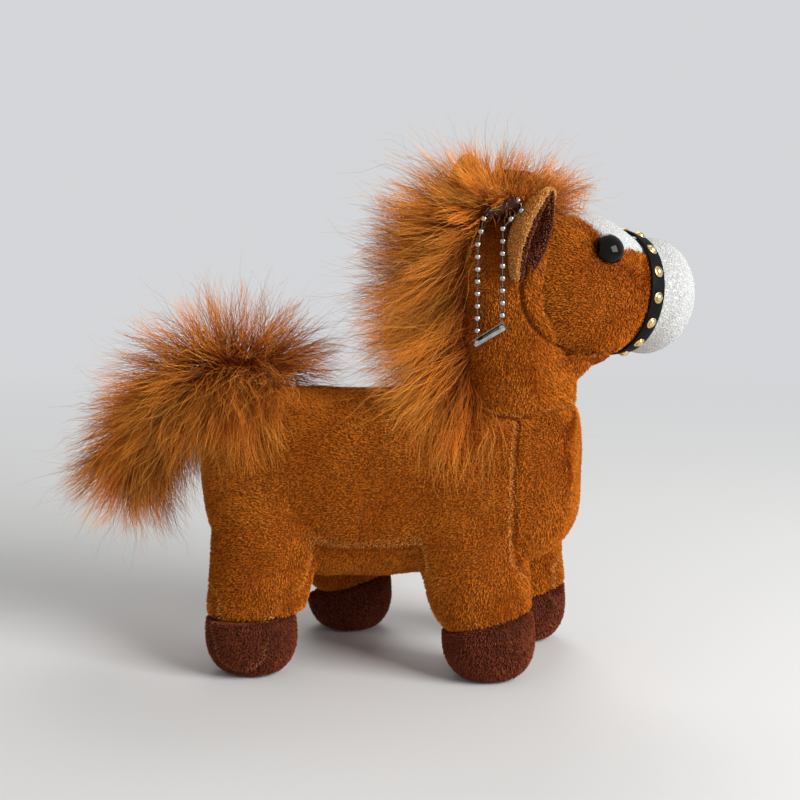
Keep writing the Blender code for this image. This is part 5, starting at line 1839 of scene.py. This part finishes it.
def make_tail(surfaces):
    """The tail: a strip of fur that leaves the top of the rump and hangs back and down."""
    start = Vector((BODY_REAR, BODY_MIDDLE_Y, BACK_HEIGHT))
    places = []
    sizes = []
    for ahead, rise, thick, wide, aside in TAIL_RING_SHARES[TAIL_CORE_ROWS]:
        taper = 0.90 - 0.10 * len(places)
        places.append(start + Vector((ahead * TAIL_THICKNESS, aside * TAIL_WIDTH, rise * TAIL_THICKNESS)))
        sizes.append((thick * taper * TAIL_THICKNESS / 2, wide * taper * TAIL_WIDTH / 2))
    fur_core("tail", places, sizes)
    steps = 40
    path = np.array(smooth_path([start + Vector((row[0], 0, row[1])) for row in TAIL_GUIDES], steps))
    ahead = unit(np.gradient(path, axis=0))
    u = RNG.random(TAIL_STRANDS) ** 1.15 * steps
    low = np.minimum(u.astype(int), steps - 1)
    part = (u - low)[:, None]
    middle = path[low] * (1 - part) + path[low + 1] * part
    forward = unit(ahead[low] * (1 - part) + ahead[low + 1] * part)
    across = np.tile(np.array([0.0, 1.0, 0.0]), (TAIL_STRANDS, 1))
    turn = RNG.uniform(0, math.tau, TAIL_STRANDS)
    out = across * np.cos(turn)[:, None] + np.cross(across, forward) * np.sin(turn)[:, None]
    roots = middle + out * (TAIL_RADIUS * RNG.uniform(0.3, 1.0, TAIL_STRANDS))[:, None]
    shares = np.linspace(0, steps, len(TAIL_GUIDES))
    stand, go, fall, reach = (np.interp(u, shares, column) for column in list(zip(*TAIL_GUIDES))[2:])
    aims = out * stand[:, None] + forward * go[:, None]
    aside = np.abs(out[:, 1]) * (1 - smoothstep(0.3 * steps, 0.6 * steps, u))
    aims[:, 2] -= fall * (1.2 - out[:, 2]) + 0.35 * aside
    lengths = reach * RNG.uniform(*HAIR_LENGTHS, TAIL_STRANDS) * (1 + 0.30 * aside)
    root = ("root", u < 0.3 * steps)
    grow_fur("tail", roots, aims, lengths, TAIL_LOCKS, 0.78, surfaces, TAIL_PALES, root, out[:, 1] < 0)


# Stage
def seen_rays(tree):
    """One for rays that show the background to the camera, straight, mirrored or through glass."""
    rays = node(tree, "ShaderNodeLightPath", out="Is Camera Ray")
    shown = rays
    for kind in ("Is Glossy Ray", "Is Transmission Ray"):
        shown = reckon(tree, "ADD", shown, rays.node.outputs[kind], use_clamp=True)
    return shown


def put(name, data, place, turn):
    """A lamp or camera in its place."""
    thing = add(name, data)
    thing.location = place
    thing.rotation_euler = turn
    return thing


def make_stage():
    """A plain pale floor, soft lamps and the photograph's camera."""
    bpy.ops.mesh.primitive_plane_add(size=6.0)
    floor = bpy.context.active_object
    floor.name = "floor"
    material, shader, tree = finish_of("floor")
    feed(shader, {"Base Color": (0.80, 0.80, 0.79, 1), "Roughness": 0.9})
    away = node(tree, "ShaderNodeVectorMath", {0: coordinates(tree)}, "Value", operation="LENGTH")
    far = reckon(tree, "MULTIPLY", ranged(tree, away, *HAZE_REACH), seen_rays(tree))
    haze = node(tree, "ShaderNodeEmission", {"Color": (*BACKGROUND, 1)})
    blend = node(tree, "ShaderNodeMixShader", {0: far, 1: shader.outputs["BSDF"], 2: haze})
    feed(tree.nodes["Material Output"], {"Surface": blend})
    floor.data.materials.append(material)
    world = bpy.data.worlds.new("studio")
    bpy.context.scene.world = world
    world.use_nodes = True
    tree = world.node_tree
    tree.nodes.clear()
    room = node(tree, "ShaderNodeBackground", {"Color": (1.0, 1.0, 1.0, 1), "Strength": ROOM_LIGHT})
    back = node(tree, "ShaderNodeBackground", {"Color": (*BACKGROUND, 1), "Strength": 1.0})
    choose = node(tree, "ShaderNodeMixShader", {0: seen_rays(tree), 1: room, 2: back})
    feed(tree.nodes.new("ShaderNodeOutputWorld"), {"Surface": choose})
    for name, place, size, power in LAMPS:
        lamp = bpy.data.lights.new(name, "AREA")
        lamp.size = size
        lamp.energy = power
        aim = Vector((0, 0, 0.07)) - Vector(place)
        put(name, lamp, place, aim.to_track_quat("-Z", "Y").to_euler())
    camera = bpy.data.cameras.new("photo_camera")
    camera.lens = CAMERA_LENS
    camera.sensor_width = 36.0
    turn = (math.pi / 2 - CAMERA_DROP, 0, CAMERA_TURN)
    bpy.context.scene.camera = put("photo_camera", camera, CAMERA_PLACE, turn)
    bpy.context.scene.view_settings.view_transform = "Standard"


def main():
    """The horse on its stage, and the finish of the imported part's washers."""
    make_stage()
    make_tab()
    make_chain()
    head = head_form()
    head_surface = surface_of(head)
    make_noseband(head_surface)
    make_studs(head_surface)
    make_eyes(head_surface)
    body = make_body()
    make_hooves()
    neck, neck_outside = make_neck(body, head)
    make_head(head, neck_outside)
    make_ears()
    skins = [surface_of(body), surface_of(neck), head_surface]
    make_mane(skins)
    make_tail(skins[:1])
    drop(head)
    for side in ("right", "left"):
        washer = frame["nodes"]["eye_washer_" + side]
        washer.data.materials.clear()
        washer.data.materials.append(WASHER_PLASTIC)


main()
